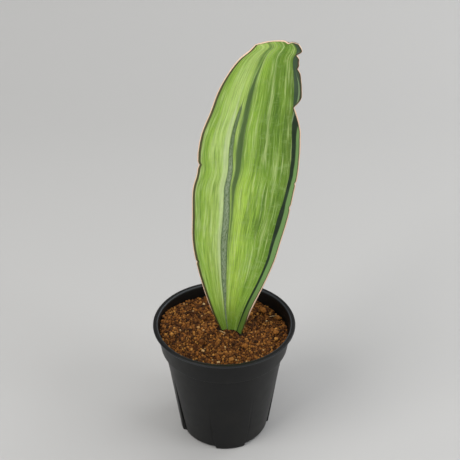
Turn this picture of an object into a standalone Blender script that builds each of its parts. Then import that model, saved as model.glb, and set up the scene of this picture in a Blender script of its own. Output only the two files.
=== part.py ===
"""Potted snake plant: one broad variegated leaf in a black slit nursery pot.

Units are metres and +Z is up. The origin is on the pot's axis at the surface that it stands on,
and -Y is the front. Azimuths are degrees from the front towards +X.
"""

import math
import random

import bmesh
import bpy
from mathutils import Vector

MM = 0.001
CLEARANCE = 0.3 * MM            # gap kept between neighbouring pieces

# Pot: a turned shell with a lip, a collar, a tapered body, four foot panels and four slits
POT_HEIGHT = 109.0 * MM
POT_RIM_RADIUS = 60.0 * MM
POT_WALL = 1.3 * MM
LIP_WIDTH = 3.2 * MM
LIP_THICKNESS = 2.2 * MM
COLLAR_HEIGHT = 22.5 * MM
COLLAR_FOOT_RADIUS = 53.8 * MM
BODY_TOP_RADIUS = 50.8 * MM
BODY_FOOT_RADIUS = 37.5 * MM
FOOT_WIDTH = 3.2 * MM
FLOOR_RISE = 3.2 * MM           # underside of the floor above the ground, at its edge
FLOOR_CROWN = 1.6 * MM          # how much higher the floor is at the middle
HUB_RADIUS = 6.0 * MM           # flat middle of the floor
PANEL_LIFT = 1.1 * MM           # how far the recessed panels stop above the ground
PANEL_PROUD = 1.4 * MM          # how far the foot panels stand out at the ground
FOOT_PANEL_AZIMUTH = 8.0        # middle of the first panel that reaches the ground; recessed ones lie between
FOOT_PANEL_SPANS = (46.0, 36.5, 46.0, 36.5)  # degrees wide above the slant: front, right, back, left
FOOT_SOLE_TAPER = 7.0           # degrees by which each stands narrower at the ground, where the sides slant in
FOOT_SLANT_HEIGHT = 18.0 * MM   # height at which the proud part is as wide as the panel
SLIT_FEET = (1, 3)              # foot panels with a slit at each edge: the right and the left one
SLIT_HEIGHT = 62.0 * MM         # top of the slits, where the foot panels are flush with the body
SLIT_WIDTH = 0.6 * MM           # at the top
SLIT_FLARE_WIDTH = 3.2 * MM     # at the ground
SLIT_REACH = 7.0 * MM           # how far each slit runs in under the floor
COLUMNS_PER_PANEL = 9
PANEL_EDGE_ANGLE = 1.0          # degrees either side of a panel's edge

# Soil: fired clay granules, filled to a little under the lip
SOIL_DEPTH_BELOW_RIM = 11.0 * MM
SOIL_SWELLS = ((0.8, 1, 75.0), (0.6, 2, -10.0), (0.4, 3, 110.0))  # height (mm), waves round, turn
SOIL_RIPPLE = 0.3 * MM
SOIL_RIPPLE_LENGTH = 8.0 * MM
SOIL_GAP = 0.4 * MM             # between the soil and the pot's wall
SOIL_RINGS = 7

# Leaf: heights are above the soil line at the pot's axis; x is to the right of the pot's axis
LEAF_ROOT_DEPTH = 15.0 * MM     # how far the leaf's foot goes under the soil line
LEAF_DEPTH_OFFSET = 3.0 * MM    # how far the leaf stands behind the pot's axis
LEAF_THICKNESS = 2.6 * MM
LEAF_FOOT_THICKNESS = 4.6 * MM
LEAF_MARGIN_THICKNESS = 1.3 * MM
LEAF_ROWS = 50
LEAF_COLUMNS = 12
# Each row: height at the left edge, left x, height at the right edge, right x, crown of the row (mm)
LEAF_STATIONS = (
    (-LEAF_ROOT_DEPTH / MM, 1.5, -LEAF_ROOT_DEPTH / MM, 10.5, 0.0),
    (-0.4 * LEAF_ROOT_DEPTH / MM, -0.5, -0.45 * LEAF_ROOT_DEPTH / MM, 12.5, 0.0),
    (1.0, -3.2, 0.0, 14.2, 0.0),
    (11.0, -7.2, 11.0, 17.6, 0.0),
    (27.0, -12.6, 27.0, 23.2, 0.0),
    (50.0, -18.8, 50.0, 32.6, 0.0),
    (73.0, -23.5, 73.0, 40.8, 0.0),
    (92.0, -25.6, 92.0, 45.6, 0.0),
    (114.0, -25.2, 114.0, 50.8, 0.0),
    (137.0, -24.4, 137.0, 54.6, 0.0),
    (153.0, -20.6, 153.0, 57.2, 0.3),
    (171.0, -19.6, 171.0, 58.2, 0.8),
    (187.0, -16.4, 187.0, 58.0, 1.6),
    (204.0, -9.8, 204.0, 57.8, 2.6),
    (220.0, -4.2, 221.0, 57.8, 3.4),
    (234.0, 3.2, 234.0, 56.4, 3.8),
    (245.0, 11.2, 243.5, 55.0, 3.6),
    (251.5, 18.6, 249.5, 57.2, 3.2),
    (255.0, 23.0, 253.6, 55.0, 2.9),
)
# Nicks in the margin: side (-1 left, 1 right), height, depth, reach below, reach above (mm)
LEAF_NICKS = (
    (-1, 159.5, 1.2, 4.0, 3.5),
    (-1, 70.5, 0.9, 2.5, 2.0),
    (1, 209.0, 5.0, 21.0, 4.0),
    (1, 240.0, 1.2, 4.5, 3.0),
    (1, 247.6, 1.8, 3.0, 1.8),
    (1, 145.0, 0.8, 2.5, 2.0),
    (1, 124.0, 0.9, 3.0, 2.5),
)
LEAF_FOLD_START = 0.62          # share of the width where the right wing starts to turn forward
LEAF_FOLD_FOOT = 7.5 * MM       # how far the right wing comes forward at the soil
LEAF_FOLD_TOP = 3.0 * MM
LEAF_CUP_LEFT = 2.6 * MM        # how far the left edge comes forward
LEAF_BOW = 5.0 * MM             # how far the leaf's upper half leans back

# Rhizome: the short creeping stem that the leaf stands on, with its roots
RHIZOME_RADIUS = 6.5 * MM
RHIZOME_LENGTH = 36.0 * MM
RHIZOME_RING_PITCH = 5.0 * MM   # spacing of the leaf scars around the stem
RHIZOME_RING_HEIGHT = 0.5 * MM
POCKET_MERGE = 2.0 * MM         # how far the leaf's pocket reaches into the rhizome's
ROOT_COUNT = 7
ROOT_RADIUS = 1.3 * MM
ROOT_TIP_RADIUS = 0.5 * MM
ROOT_SPREAD = 20.0 * MM
ROOT_DROP = 42.0 * MM

# Large grains lying on the soil: x, y and size (mm), and the finish of each
GRAINS = (
    (34.0, 27.0, 5.4, "tan"),
    (46.5, 16.5, 4.6, "tan"),
    (43.5, -6.0, 4.4, "tan"),
    (17.5, -23.5, 4.4, "tan"),
    (6.0, -41.0, 4.6, "tan"),
    (-18.5, -18.0, 5.0, "brown"),
    (-17.5, 15.0, 4.2, "brown"),
    (-44.0, -9.0, 3.6, "amber"),
    (43.5, -14.5, 3.4, "amber"),
    (-22.0, 1.5, 2.8, "pale"),
    (-17.5, -27.5, 2.8, "pale"),
)
GRAIN_ROUGHNESS = 0.12          # how far a grain's surface strays from round, as a share of its size

# A dry straw behind the leaf and a split of old leaf sheath at its foot
STRAW_LENGTH = 8.5 * MM
STRAW_RADIUS = 0.45 * MM
STRAW_PLACE = (43.0, 20.5)
SPLINTER_LENGTH = 6.5 * MM
SPLINTER_RADIUS = 0.6 * MM
SPLINTER_PLACE = (-1.5, -4.5)


# ---------------------------------------------------------------- general helpers

def clear_scene():
    for obj in list(bpy.data.objects):
        bpy.data.objects.remove(obj, do_unlink=True)


def finish(name, colour, roughness):
    material = bpy.data.materials.new(name)
    material.use_nodes = True
    shader = material.node_tree.nodes["Principled BSDF"]
    shader.inputs["Base Color"].default_value = (*colour, 1.0)
    shader.inputs["Roughness"].default_value = roughness
    shader.inputs["Metallic"].default_value = 0.0
    return material


def loft(name, rings, material, sharp_angle=35.0):
    """One closed body through rings of equally many points, with a flat cap on each end ring."""
    mesh = bmesh.new()
    loops = [[mesh.verts.new(point) for point in ring] for ring in rings]
    for lower, upper in zip(loops, loops[1:]):
        count = len(lower)
        for i in range(count):
            j = (i + 1) % count
            mesh.faces.new((lower[i], lower[j], upper[j], upper[i]))
    mesh.faces.new(loops[0][::-1])
    mesh.faces.new(loops[-1])
    bmesh.ops.triangulate(mesh, faces=[f for f in mesh.faces if len(f.verts) > 4])
    bmesh.ops.recalc_face_normals(mesh, faces=mesh.faces)
    data = bpy.data.meshes.new(name)
    mesh.to_mesh(data)
    mesh.free()
    data.materials.append(material)
    data.shade_smooth()
    data.set_sharp_from_angle(angle=math.radians(sharp_angle))
    obj = bpy.data.objects.new(name, data)
    bpy.context.scene.collection.objects.link(obj)
    return obj


def as_cutter(obj):
    obj.hide_render = True
    obj.display_type = 'WIRE'
    return obj


def boolean(obj, other, operation):
    """Joins or cuts two closed bodies. The exact solver drops the whole body on some of these cuts."""
    modifier = obj.modifiers.new(f"{operation.lower()}_{other.name}", 'BOOLEAN')
    modifier.operation = operation
    modifier.solver = 'MANIFOLD'
    modifier.object = other


def direction(azimuth):
    """Unit vector on the ground from the pot's axis, azimuth in degrees from the front towards +X."""
    angle = math.radians(azimuth)
    return Vector((math.sin(angle), -math.cos(angle), 0.0))


def smooth_step(t):
    t = min(max(t, 0.0), 1.0)
    return t * t * (3.0 - 2.0 * t)


def spline(knots, t):
    """Catmull-Rom value at t, from 0 to 1, through knots of equal spacing (numbers or vectors)."""
    place = min(max(t, 0.0), 1.0) * (len(knots) - 1)
    i = min(int(place), len(knots) - 2)
    f = place - i
    before = knots[max(i - 1, 0)]
    after = knots[min(i + 2, len(knots) - 1)]
    a, b = knots[i], knots[i + 1]
    return (
        a * (2.0 * f ** 3 - 3.0 * f ** 2 + 1.0)
        + b * (3.0 * f ** 2 - 2.0 * f ** 3)
        + (b - before) * (0.5 * (f ** 3 - 2.0 * f ** 2 + f))
        + (after - a) * (0.5 * (f ** 3 - f ** 2))
    )


def tube(name, points, radii, material, sides=6, steps=8, flatten=1.0):
    """A round rod of changing radius along a smooth curve through the points."""
    rings = []
    for k in range(steps + 1):
        t = k / steps
        centre = spline(points, t)
        ahead = spline(points, min(t + 0.01, 1.0)) - spline(points, max(t - 0.01, 0.0))
        axis = ahead.normalized()
        side = axis.cross(Vector((0.0, 0.0, 1.0)))
        side = side.normalized() if side.length > 0.05 else Vector((1.0, 0.0, 0.0))
        up = side.cross(axis)
        radius = spline(radii, t)
        turn = [2.0 * math.pi * i / sides for i in range(sides)]
        rings.append([
            centre + radius * (math.cos(a) * side + flatten * math.sin(a) * up) for a in turn
        ])
    return loft(name, rings, material)


# ---------------------------------------------------------------- pot

def foot_edges():
    """(azimuth, side, foot) of each foot panel's edges: side is 1 where the panel lies beyond it."""
    found = []
    for k, span in enumerate(FOOT_PANEL_SPANS):
        middle = FOOT_PANEL_AZIMUTH + 360.0 / len(FOOT_PANEL_SPANS) * k
        found += [(middle - 0.5 * span, 1, k), (middle + 0.5 * span, -1, k)]
    return found


def pot_columns():
    """(azimuth, offset, span) of each column of the pot, closer together beside the panels' edges.

    offset is the angle from the middle of the foot panel, or None on a recessed panel; span is the panel's.
    """
    columns = []
    starts = [azimuth for azimuth, _, _ in foot_edges()]
    for k, start in enumerate(starts):
        end = starts[k + 1] if k + 1 < len(starts) else starts[0] + 360.0
        middle = 0.5 * (start + end)
        half = 0.5 * (end - start) - PANEL_EDGE_ANGLE
        for i in range(COLUMNS_PER_PANEL):
            offset = half * math.sin(0.5 * math.pi * (2.0 * i / (COLUMNS_PER_PANEL - 1) - 1.0))
            columns.append((middle + offset, offset if k % 2 == 0 else None, end - start))
    return columns


def foot_share(offset, span, z):
    """1 on the part of a foot panel that stands proud at this height, else 0."""
    if offset is None:
        return 0.0
    slant = min(z / FOOT_SLANT_HEIGHT, 1.0)
    half = 0.5 * (span - FOOT_SOLE_TAPER * (1.0 - slant))
    return 1.0 if abs(offset) <= half else 0.0


def collar_radius(z):
    """Outer radius of the collar wall at height z."""
    share = (z - (POT_HEIGHT - COLLAR_HEIGHT)) / (COLLAR_HEIGHT - LIP_THICKNESS)
    top = POT_RIM_RADIUS - LIP_WIDTH
    return COLLAR_FOOT_RADIUS + (top - COLLAR_FOOT_RADIUS) * share


def body_radius(z):
    """Outer radius of the tapered body at height z."""
    share = z / (POT_HEIGHT - COLLAR_HEIGHT - POT_WALL)
    return BODY_FOOT_RADIUS + (BODY_TOP_RADIUS - BODY_FOOT_RADIUS) * share


def inner_radius(z):
    """Radius of the pot's inner wall at height z."""
    if z > POT_HEIGHT - COLLAR_HEIGHT + POT_WALL:
        return collar_radius(z) - POT_WALL
    return body_radius(z) - POT_WALL


def pot_inside():
    """(radius, height) down the pot's inner wall and in along its floor, which the soil follows."""
    ledge = POT_HEIGHT - COLLAR_HEIGHT
    lip_under = POT_HEIGHT - LIP_THICKNESS
    floor = FLOOR_RISE + POT_WALL
    foot_inner = BODY_FOOT_RADIUS - FOOT_WIDTH
    return [
        (inner_radius(lip_under), lip_under),
        (inner_radius(ledge + 2.0 * POT_WALL), ledge + 2.0 * POT_WALL),
        (BODY_TOP_RADIUS - POT_WALL + 0.6 * MM, ledge),
        (inner_radius(ledge - 2.0 * MM), ledge - 2.0 * MM),
        (inner_radius(SLIT_HEIGHT), SLIT_HEIGHT),
        (inner_radius(floor + 1.5 * MM), floor + 1.5 * MM),
        (inner_radius(floor) - 1.5 * MM, floor),
        (foot_inner * 0.7, floor + FLOOR_CROWN * 0.5),
        (HUB_RADIUS, floor + FLOOR_CROWN),
    ]


def pot_profile():
    """(radius, height, proud, lift) round the wall's section, from under the floor to inside it.

    proud is the share of PANEL_PROUD and lift the share of PANEL_LIFT that the point takes.
    """
    ledge = POT_HEIGHT - COLLAR_HEIGHT
    lip_under = POT_HEIGHT - LIP_THICKNESS
    foot_outer = body_radius(0.0)
    foot_inner = foot_outer - FOOT_WIDTH
    points = [
        (HUB_RADIUS, FLOOR_RISE + FLOOR_CROWN, 0.0, 0.0),
        (foot_inner * 0.7, FLOOR_RISE + FLOOR_CROWN * 0.5, 0.0, 0.0),
        (foot_inner - 1.2 * MM, FLOOR_RISE, 0.0, 0.0),
        (foot_inner, 0.0, 0.0, 1.0),
        (foot_outer - 0.8 * MM, 0.0, 1.0, 1.0),
        (foot_outer - 0.2 * MM, 0.3 * MM, 1.0, 1.0),
        (body_radius(1.0 * MM), 1.0 * MM, 1.0, 1.0),
    ]
    for z in (6.0 * MM, 14.0 * MM, 22.0 * MM, 36.0 * MM, 50.0 * MM, SLIT_HEIGHT):
        points.append((body_radius(z), z, max(0.0, 1.0 - z / SLIT_HEIGHT), 0.0))
    points += [
        (body_radius(ledge - 3.0 * MM), ledge - 3.0 * MM, 0.0, 0.0),
        (BODY_TOP_RADIUS + 0.4 * MM, ledge - 1.5 * MM, 0.0, 0.0),
        (BODY_TOP_RADIUS + 1.3 * MM, ledge - 0.6 * MM, 0.0, 0.0),
        (COLLAR_FOOT_RADIUS - 0.5 * MM, ledge, 0.0, 0.0),
        (COLLAR_FOOT_RADIUS, ledge + 0.9 * MM, 0.0, 0.0),
        (collar_radius(lip_under) - 0.2 * MM, lip_under - 0.6 * MM, 0.0, 0.0),
        (POT_RIM_RADIUS - LIP_WIDTH + 0.5 * MM, lip_under, 0.0, 0.0),
        (POT_RIM_RADIUS - 0.5 * MM, lip_under + 0.2 * MM, 0.0, 0.0),
        (POT_RIM_RADIUS, lip_under + 0.8 * MM, 0.0, 0.0),
        (POT_RIM_RADIUS, POT_HEIGHT - 0.7 * MM, 0.0, 0.0),
        (POT_RIM_RADIUS - 0.5 * MM, POT_HEIGHT, 0.0, 0.0),
        (POT_RIM_RADIUS - LIP_WIDTH + 0.6 * MM, POT_HEIGHT, 0.0, 0.0),
        (POT_RIM_RADIUS - LIP_WIDTH - 0.2 * MM, POT_HEIGHT - 0.8 * MM, 0.0, 0.0),
    ]
    return points + [(radius, height, 0.0, 0.0) for radius, height in pot_inside()]


def slit_cutter(name, azimuth, side, material):
    """A cutter through the wall and the floor's edge, that widens downwards beside a foot panel."""
    out = direction(azimuth)
    across = direction(azimuth - 90.0) * side
    near = -0.5 * SLIT_WIDTH
    below = -2.0 * MM
    foot = [(near, below), (near + SLIT_FLARE_WIDTH, below)]
    outline = foot + [(near + SLIT_WIDTH, SLIT_HEIGHT), (near, SLIT_HEIGHT)]
    rings = []
    for reach in (BODY_FOOT_RADIUS - FOOT_WIDTH - SLIT_REACH, POT_RIM_RADIUS):
        rings.append([out * reach + across * x + Vector((0.0, 0.0, z)) for x, z in outline])
    return as_cutter(loft(name, rings, material))


def build_pot(material):
    columns = pot_columns()
    rings = []
    for radius, height, proud, lift in pot_profile():
        ring = []
        for azimuth, offset, span in columns:
            foot = foot_share(offset, span, height)
            r = radius + proud * foot * PANEL_PROUD
            z = height + lift * (1.0 - foot) * PANEL_LIFT
            ring.append(direction(azimuth) * r + Vector((0.0, 0.0, z)))
        rings.append(ring)
    pot = loft("pot", rings, material)
    for k, (azimuth, side, foot) in enumerate(foot_edges()):
        if foot in SLIT_FEET:
            boolean(pot, slit_cutter(f"slit_cutter_{k + 1}", azimuth, side, material), 'DIFFERENCE')
    return pot


# ---------------------------------------------------------------- soil

def soil_line():
    """Height of the soil at the pot's axis, before its unevenness."""
    return POT_HEIGHT - SOIL_DEPTH_BELOW_RIM


def soil_height(x, y):
    """Height of the uneven soil surface at a point."""
    reach = min(math.hypot(x, y) / POT_RIM_RADIUS, 1.0)
    azimuth = math.atan2(x, -y)
    swell = sum(
        height * math.cos(waves * azimuth - math.radians(turn)) for height, waves, turn in SOIL_SWELLS
    )
    ripple = SOIL_RIPPLE * math.sin(x / SOIL_RIPPLE_LENGTH + 1.0) * math.sin(y / SOIL_RIPPLE_LENGTH)
    return soil_line() + swell * MM * reach ** 2 + ripple


def build_soil(material, pockets):
    """The soil as one body that follows the pot's inside, with an uneven top."""
    azimuths = [azimuth for azimuth, _, _ in pot_columns()]
    rings = []
    for radius, height in pot_inside()[:0:-1]:
        lift = CLEARANCE if height < SLIT_HEIGHT else 0.0
        place = Vector((0.0, 0.0, height + lift))
        rings.append([direction(a) * (radius - SOIL_GAP) + place for a in azimuths])
    for k in range(SOIL_RINGS):
        share = 1.0 - k / (SOIL_RINGS - 0.4)
        ring = []
        for a in azimuths:
            wall = direction(a) * inner_radius(soil_line())
            edge = direction(a) * (inner_radius(soil_height(wall.x, wall.y)) - SOIL_GAP)
            flat = edge * share
            ring.append(flat + Vector((0.0, 0.0, soil_height(flat.x, flat.y))))
        rings.append(ring)
    soil = loft("soil", rings, material, sharp_angle=60.0)
    for pocket in pockets:
        boolean(soil, pocket, 'DIFFERENCE')
    return soil


# ---------------------------------------------------------------- leaf

def leaf_nick(side, height):
    """How far the margin is set in at this height above the soil line."""
    depth = 0.0
    for nick_side, centre, deep, below, above in LEAF_NICKS:
        if nick_side == side:
            reach = (above if height > centre * MM else below) * MM
            t = abs(height - centre * MM) / reach
            depth += deep * MM * max(0.0, 1.0 - t) ** 1.6
    return depth


def leaf_point(across, along):
    """Middle surface of the leaf: across runs from 0 at the left edge to 1, along from foot to tip."""
    left_z, left_x, right_z, right_x, crown = (
        spline([row[k] for row in LEAF_STATIONS], along) * MM for k in range(5)
    )
    left_x += leaf_nick(-1, left_z)
    right_x -= leaf_nick(1, right_z)
    x = left_x + (right_x - left_x) * across
    z = left_z + (right_z - left_z) * across + crown * 4.0 * across * (1.0 - across)
    fold = LEAF_FOLD_FOOT + (LEAF_FOLD_TOP - LEAF_FOLD_FOOT) * smooth_step(along)
    turn = max(0.0, (across - LEAF_FOLD_START) / (1.0 - LEAF_FOLD_START))
    forward = fold * turn ** 2 + LEAF_CUP_LEFT * smooth_step(along) * (1.0 - across) ** 3
    back = LEAF_DEPTH_OFFSET + LEAF_BOW * max(0.0, along - 0.35) ** 2
    return Vector((x, back - forward, soil_line() + z))


def leaf_thickness(across, along):
    middle = LEAF_FOOT_THICKNESS + (LEAF_THICKNESS - LEAF_FOOT_THICKNESS) * smooth_step(along / 0.35)
    edge = 1.0 - (2.0 * across - 1.0) ** 4
    return LEAF_MARGIN_THICKNESS + (middle - LEAF_MARGIN_THICKNESS) * edge


def build_leaf(name, material, grow=0.0, along_end=1.0):
    """The leaf as one closed body. grow widens it all round, for the pocket that it stands in."""
    rows = round(LEAF_ROWS * along_end)
    rings = []
    for j in range(rows + 1):
        along = along_end * j / rows
        front, rear = [], []
        for i in range(LEAF_COLUMNS + 1):
            across = i / LEAF_COLUMNS
            point = leaf_point(across, along)
            slope = leaf_point(min(across + 0.02, 1.0), along) - leaf_point(max(across - 0.02, 0.0), along)
            normal = Vector((slope.y, -slope.x, 0.0)).normalized()
            half = 0.5 * leaf_thickness(across, along) + grow
            sideways = slope.normalized() * grow * (2.0 * across - 1.0)
            front.append(point + normal * half + sideways)
            rear.append(point - normal * half + sideways)
        rings.append(front + rear[::-1])
    if grow:
        down = Vector((0.0, 0.0, -grow - POCKET_MERGE))
        rings[0] = [point + down for point in rings[0]]
    return loft(name, rings, material, sharp_angle=60.0)


# ---------------------------------------------------------------- rhizome and roots

def rhizome_centre():
    foot = soil_line() - LEAF_ROOT_DEPTH
    middle_x = 0.5 * (LEAF_STATIONS[0][1] + LEAF_STATIONS[0][3]) * MM
    drop = RHIZOME_RADIUS + RHIZOME_RING_HEIGHT + CLEARANCE + 0.2 * MM
    return Vector((middle_x, LEAF_DEPTH_OFFSET, foot - drop))


def root_routes():
    """Four points on each root, from inside the rhizome outwards and down."""
    centre = rhizome_centre()
    routes = []
    for k in range(ROOT_COUNT):
        turn = 2.0 * math.pi * (k + 0.35) / ROOT_COUNT
        out = Vector((math.cos(turn), math.sin(turn), 0.0))
        start = centre + Vector((out.x * 0.32 * RHIZOME_LENGTH, out.y * 0.4 * RHIZOME_RADIUS, -2.0 * MM))
        drop = ROOT_DROP * (0.75 + 0.25 * math.cos(5.0 * turn))
        routes.append([
            start,
            start + out * 0.45 * ROOT_SPREAD - Vector((0.0, 0.0, 0.22 * drop)),
            start + out * 0.8 * ROOT_SPREAD - Vector((0.0, 0.0, 0.6 * drop)),
            start + out * 0.9 * ROOT_SPREAD - Vector((0.0, 0.0, drop)),
        ])
    return routes


def rhizome_body(name, material, grow=0.0):
    """A blunt rod with raised rings where earlier leaves stood."""
    centre = rhizome_centre()
    half = 0.5 * RHIZOME_LENGTH
    sides = 14
    stations = 18
    rings = []
    for k in range(stations + 1):
        share = -1.0 + 2.0 * k / stations
        share = math.sin(0.5 * math.pi * share) * 0.985
        x = share * (half + grow)
        ridge = RHIZOME_RING_HEIGHT * (0.5 + 0.5 * math.cos(2.0 * math.pi * x / RHIZOME_RING_PITCH))
        blunt = (1.0 - abs(share) ** 5) ** 0.5
        radius = (RHIZOME_RADIUS + ridge) * blunt + grow
        bend = Vector((0.0, 3.0 * MM * share ** 2, -1.5 * MM * share ** 2))
        turn = [2.0 * math.pi * i / sides for i in range(sides)]
        rings.append([
            centre + bend + Vector((x, radius * math.cos(a), radius * math.sin(a))) for a in turn
        ])
    return loft(name, rings, material, sharp_angle=60.0)


def build_rhizome(material):
    rhizome = rhizome_body("rhizome", material)
    for k, route in enumerate(root_routes()):
        root = tube(f"root_{k + 1}", route, [ROOT_RADIUS, ROOT_RADIUS, ROOT_TIP_RADIUS], material)
        boolean(rhizome, as_cutter(root), 'UNION')
    return rhizome


def soil_pockets(material):
    """Cutters for the space that the leaf's foot, the rhizome and the roots take in the soil."""
    pockets = [build_leaf("leaf_pocket", material, grow=CLEARANCE, along_end=0.2)]
    pockets.append(rhizome_body("rhizome_pocket", material, grow=CLEARANCE))
    for k, route in enumerate(root_routes()):
        end = route[-1] + (route[-1] - route[-2]).normalized() * CLEARANCE
        radii = [ROOT_RADIUS + CLEARANCE, ROOT_RADIUS + CLEARANCE, ROOT_TIP_RADIUS + CLEARANCE]
        pockets.append(tube(f"root_pocket_{k + 1}", [*route[:-1], end], radii, material))
    return [as_cutter(pocket) for pocket in pockets]


# ---------------------------------------------------------------- loose things on the soil

def highest_soil(x, y, reach):
    """Highest soil within reach of a point."""
    spots = [(0.0, 0.0)] + [
        (reach * math.sin(a * math.pi / 4.0), reach * math.cos(a * math.pi / 4.0)) for a in range(8)
    ]
    return max(soil_height(x + dx, y + dy) for dx, dy in spots)


def build_grain(name, x, y, size, material, seed):
    """A weathered grain: a ball with a rough, slightly flattened surface, lying on the soil."""
    draw = random.Random(seed)
    stretch = Vector((draw.uniform(0.9, 1.1), draw.uniform(0.85, 1.05), draw.uniform(0.75, 0.9)))
    mesh = bmesh.new()
    bmesh.ops.create_icosphere(mesh, subdivisions=2, radius=0.5 * size)
    for vert in mesh.verts:
        vert.co *= 1.0 + draw.uniform(-GRAIN_ROUGHNESS, GRAIN_ROUGHNESS)
        vert.co = Vector(a * b for a, b in zip(vert.co, stretch))
    lowest = min(vert.co.z for vert in mesh.verts)
    data = bpy.data.meshes.new(name)
    mesh.to_mesh(data)
    mesh.free()
    data.materials.append(material)
    obj = bpy.data.objects.new(name, data)
    obj.location = (x, y, highest_soil(x, y, 0.5 * size) + CLEARANCE - lowest)
    bpy.context.scene.collection.objects.link(obj)
    return obj


def build_straw(material):
    x, y = (value * MM for value in STRAW_PLACE)
    half = 0.5 * STRAW_LENGTH
    z = highest_soil(x, y, half) + STRAW_RADIUS + CLEARANCE
    points = [Vector((x - half, y, z)), Vector((x, y + 0.6 * MM, z + 0.5 * MM)), Vector((x + half, y, z))]
    return tube("dry_straw", points, [STRAW_RADIUS] * 3, material, sides=6, steps=6)


def build_splinter(material):
    x, y = (value * MM for value in SPLINTER_PLACE)
    along = Vector((0.8, -0.6, 0.0)) * (0.5 * SPLINTER_LENGTH)
    z = highest_soil(x, y, 0.5 * SPLINTER_LENGTH) + SPLINTER_RADIUS + CLEARANCE
    middle = Vector((x, y, z))
    points = [middle - along, middle + Vector((0.0, 0.0, 0.4 * MM)), middle + along]
    radii = [0.3 * SPLINTER_RADIUS, SPLINTER_RADIUS, 0.4 * SPLINTER_RADIUS]
    return tube("sheath_splinter", points, radii, material, sides=6, steps=6)


def main():
    clear_scene()
    plastic = finish("black_plastic", (0.012, 0.013, 0.014), 0.42)
    clay = finish("clay_granules", (0.16, 0.07, 0.025), 0.95)
    green = finish("leaf_green", (0.28, 0.52, 0.09), 0.45)
    stem = finish("rhizome_orange", (0.55, 0.28, 0.10), 0.7)
    straw = finish("dry_fibre", (0.62, 0.50, 0.32), 0.8)
    grain_finish = {
        "tan": finish("tan_grain", (0.45, 0.23, 0.08), 0.95),
        "brown": finish("brown_grain", (0.22, 0.10, 0.04), 0.95),
        "amber": finish("amber_grain", (0.70, 0.35, 0.06), 0.7),
        "pale": finish("pale_grain", (0.75, 0.70, 0.60), 0.8),
    }
    build_pot(plastic)
    build_soil(clay, soil_pockets(clay))
    build_leaf("leaf", green)
    build_rhizome(stem)
    for k, (x, y, size, kind) in enumerate(GRAINS):
        build_grain(f"grain_{k + 1}", x * MM, y * MM, size * MM, grain_finish[kind], seed=k)
    build_straw(straw)
    build_splinter(straw)


main()
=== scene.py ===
"""Looks of a potted snake plant: one broad variegated leaf in clay granules in a black slit pot.

Every size is in metres in the row frame: +Z up, -Y the front, the origin on the pot's axis at the floor.
"""

import logging
import math
from dataclasses import dataclass
from enum import Enum
from typing import Any, Sequence

import bmesh
import bpy
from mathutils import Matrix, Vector, noise


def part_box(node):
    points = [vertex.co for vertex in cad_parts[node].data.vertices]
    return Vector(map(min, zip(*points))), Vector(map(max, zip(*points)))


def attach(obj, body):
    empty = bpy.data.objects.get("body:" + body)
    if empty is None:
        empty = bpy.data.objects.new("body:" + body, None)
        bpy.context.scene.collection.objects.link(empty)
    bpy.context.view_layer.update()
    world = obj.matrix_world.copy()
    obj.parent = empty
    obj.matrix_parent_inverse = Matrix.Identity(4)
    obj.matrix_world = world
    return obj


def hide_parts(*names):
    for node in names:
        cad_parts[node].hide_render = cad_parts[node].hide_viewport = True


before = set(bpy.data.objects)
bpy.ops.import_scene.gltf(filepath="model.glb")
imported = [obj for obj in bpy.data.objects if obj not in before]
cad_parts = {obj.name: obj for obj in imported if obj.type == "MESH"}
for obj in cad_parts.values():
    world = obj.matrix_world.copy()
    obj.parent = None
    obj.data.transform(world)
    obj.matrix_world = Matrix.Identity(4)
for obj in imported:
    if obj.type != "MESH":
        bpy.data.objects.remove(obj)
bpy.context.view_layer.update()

MM = 0.001
Colour = tuple[float, float, float]
LOG = logging.getLogger("snake_plant")


def srgb(red: int, green: int, blue: int) -> Colour:
    """Linear colour of an sRGB triple that runs from 0 to 255.

    Args:
        red: red share.
        green: green share.
        blue: blue share.

    Returns:
        The colour as shaders take it.
    """
    def linear(value: int) -> float:
        """One channel, by the sRGB curve."""
        share = value / 255.0
        return share / 12.92 if share <= 0.04045 else ((share + 0.055) / 1.055) ** 2.4

    return linear(red), linear(green), linear(blue)


def smooth_step(low: float, high: float, value: float) -> float:
    """Eased share of the way from low to high, kept between 0 and 1."""
    t = min(max((value - low) / (high - low), 0.0), 1.0)
    return t * t * (3.0 - 2.0 * t)


def spline(knots: Sequence[Any], t: float) -> Any:
    """Catmull-Rom value through evenly spaced knots.

    Args:
        knots: numbers or vectors.
        t: place along them, from 0 to 1.

    Returns:
        The value at t.
    """
    place = min(max(t, 0.0), 1.0) * (len(knots) - 1)
    i = min(int(place), len(knots) - 2)
    f = place - i
    before, after = knots[max(i - 1, 0)], knots[min(i + 2, len(knots) - 1)]
    a, b = knots[i], knots[i + 1]
    return (
        a * (2.0 * f ** 3 - 3.0 * f ** 2 + 1.0)
        + b * (3.0 * f ** 2 - 2.0 * f ** 3)
        + (b - before) * (0.5 * (f ** 3 - 2.0 * f ** 2 + f))
        + (after - a) * (0.5 * (f ** 3 - f ** 2))
    )


def direction(azimuth: float) -> Vector:
    """Unit vector on the ground, azimuth in degrees from the front towards +X."""
    angle = math.radians(azimuth)
    return Vector((math.sin(angle), -math.cos(angle), 0.0))


# ------------------------------------------------------------------ node trees

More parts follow.
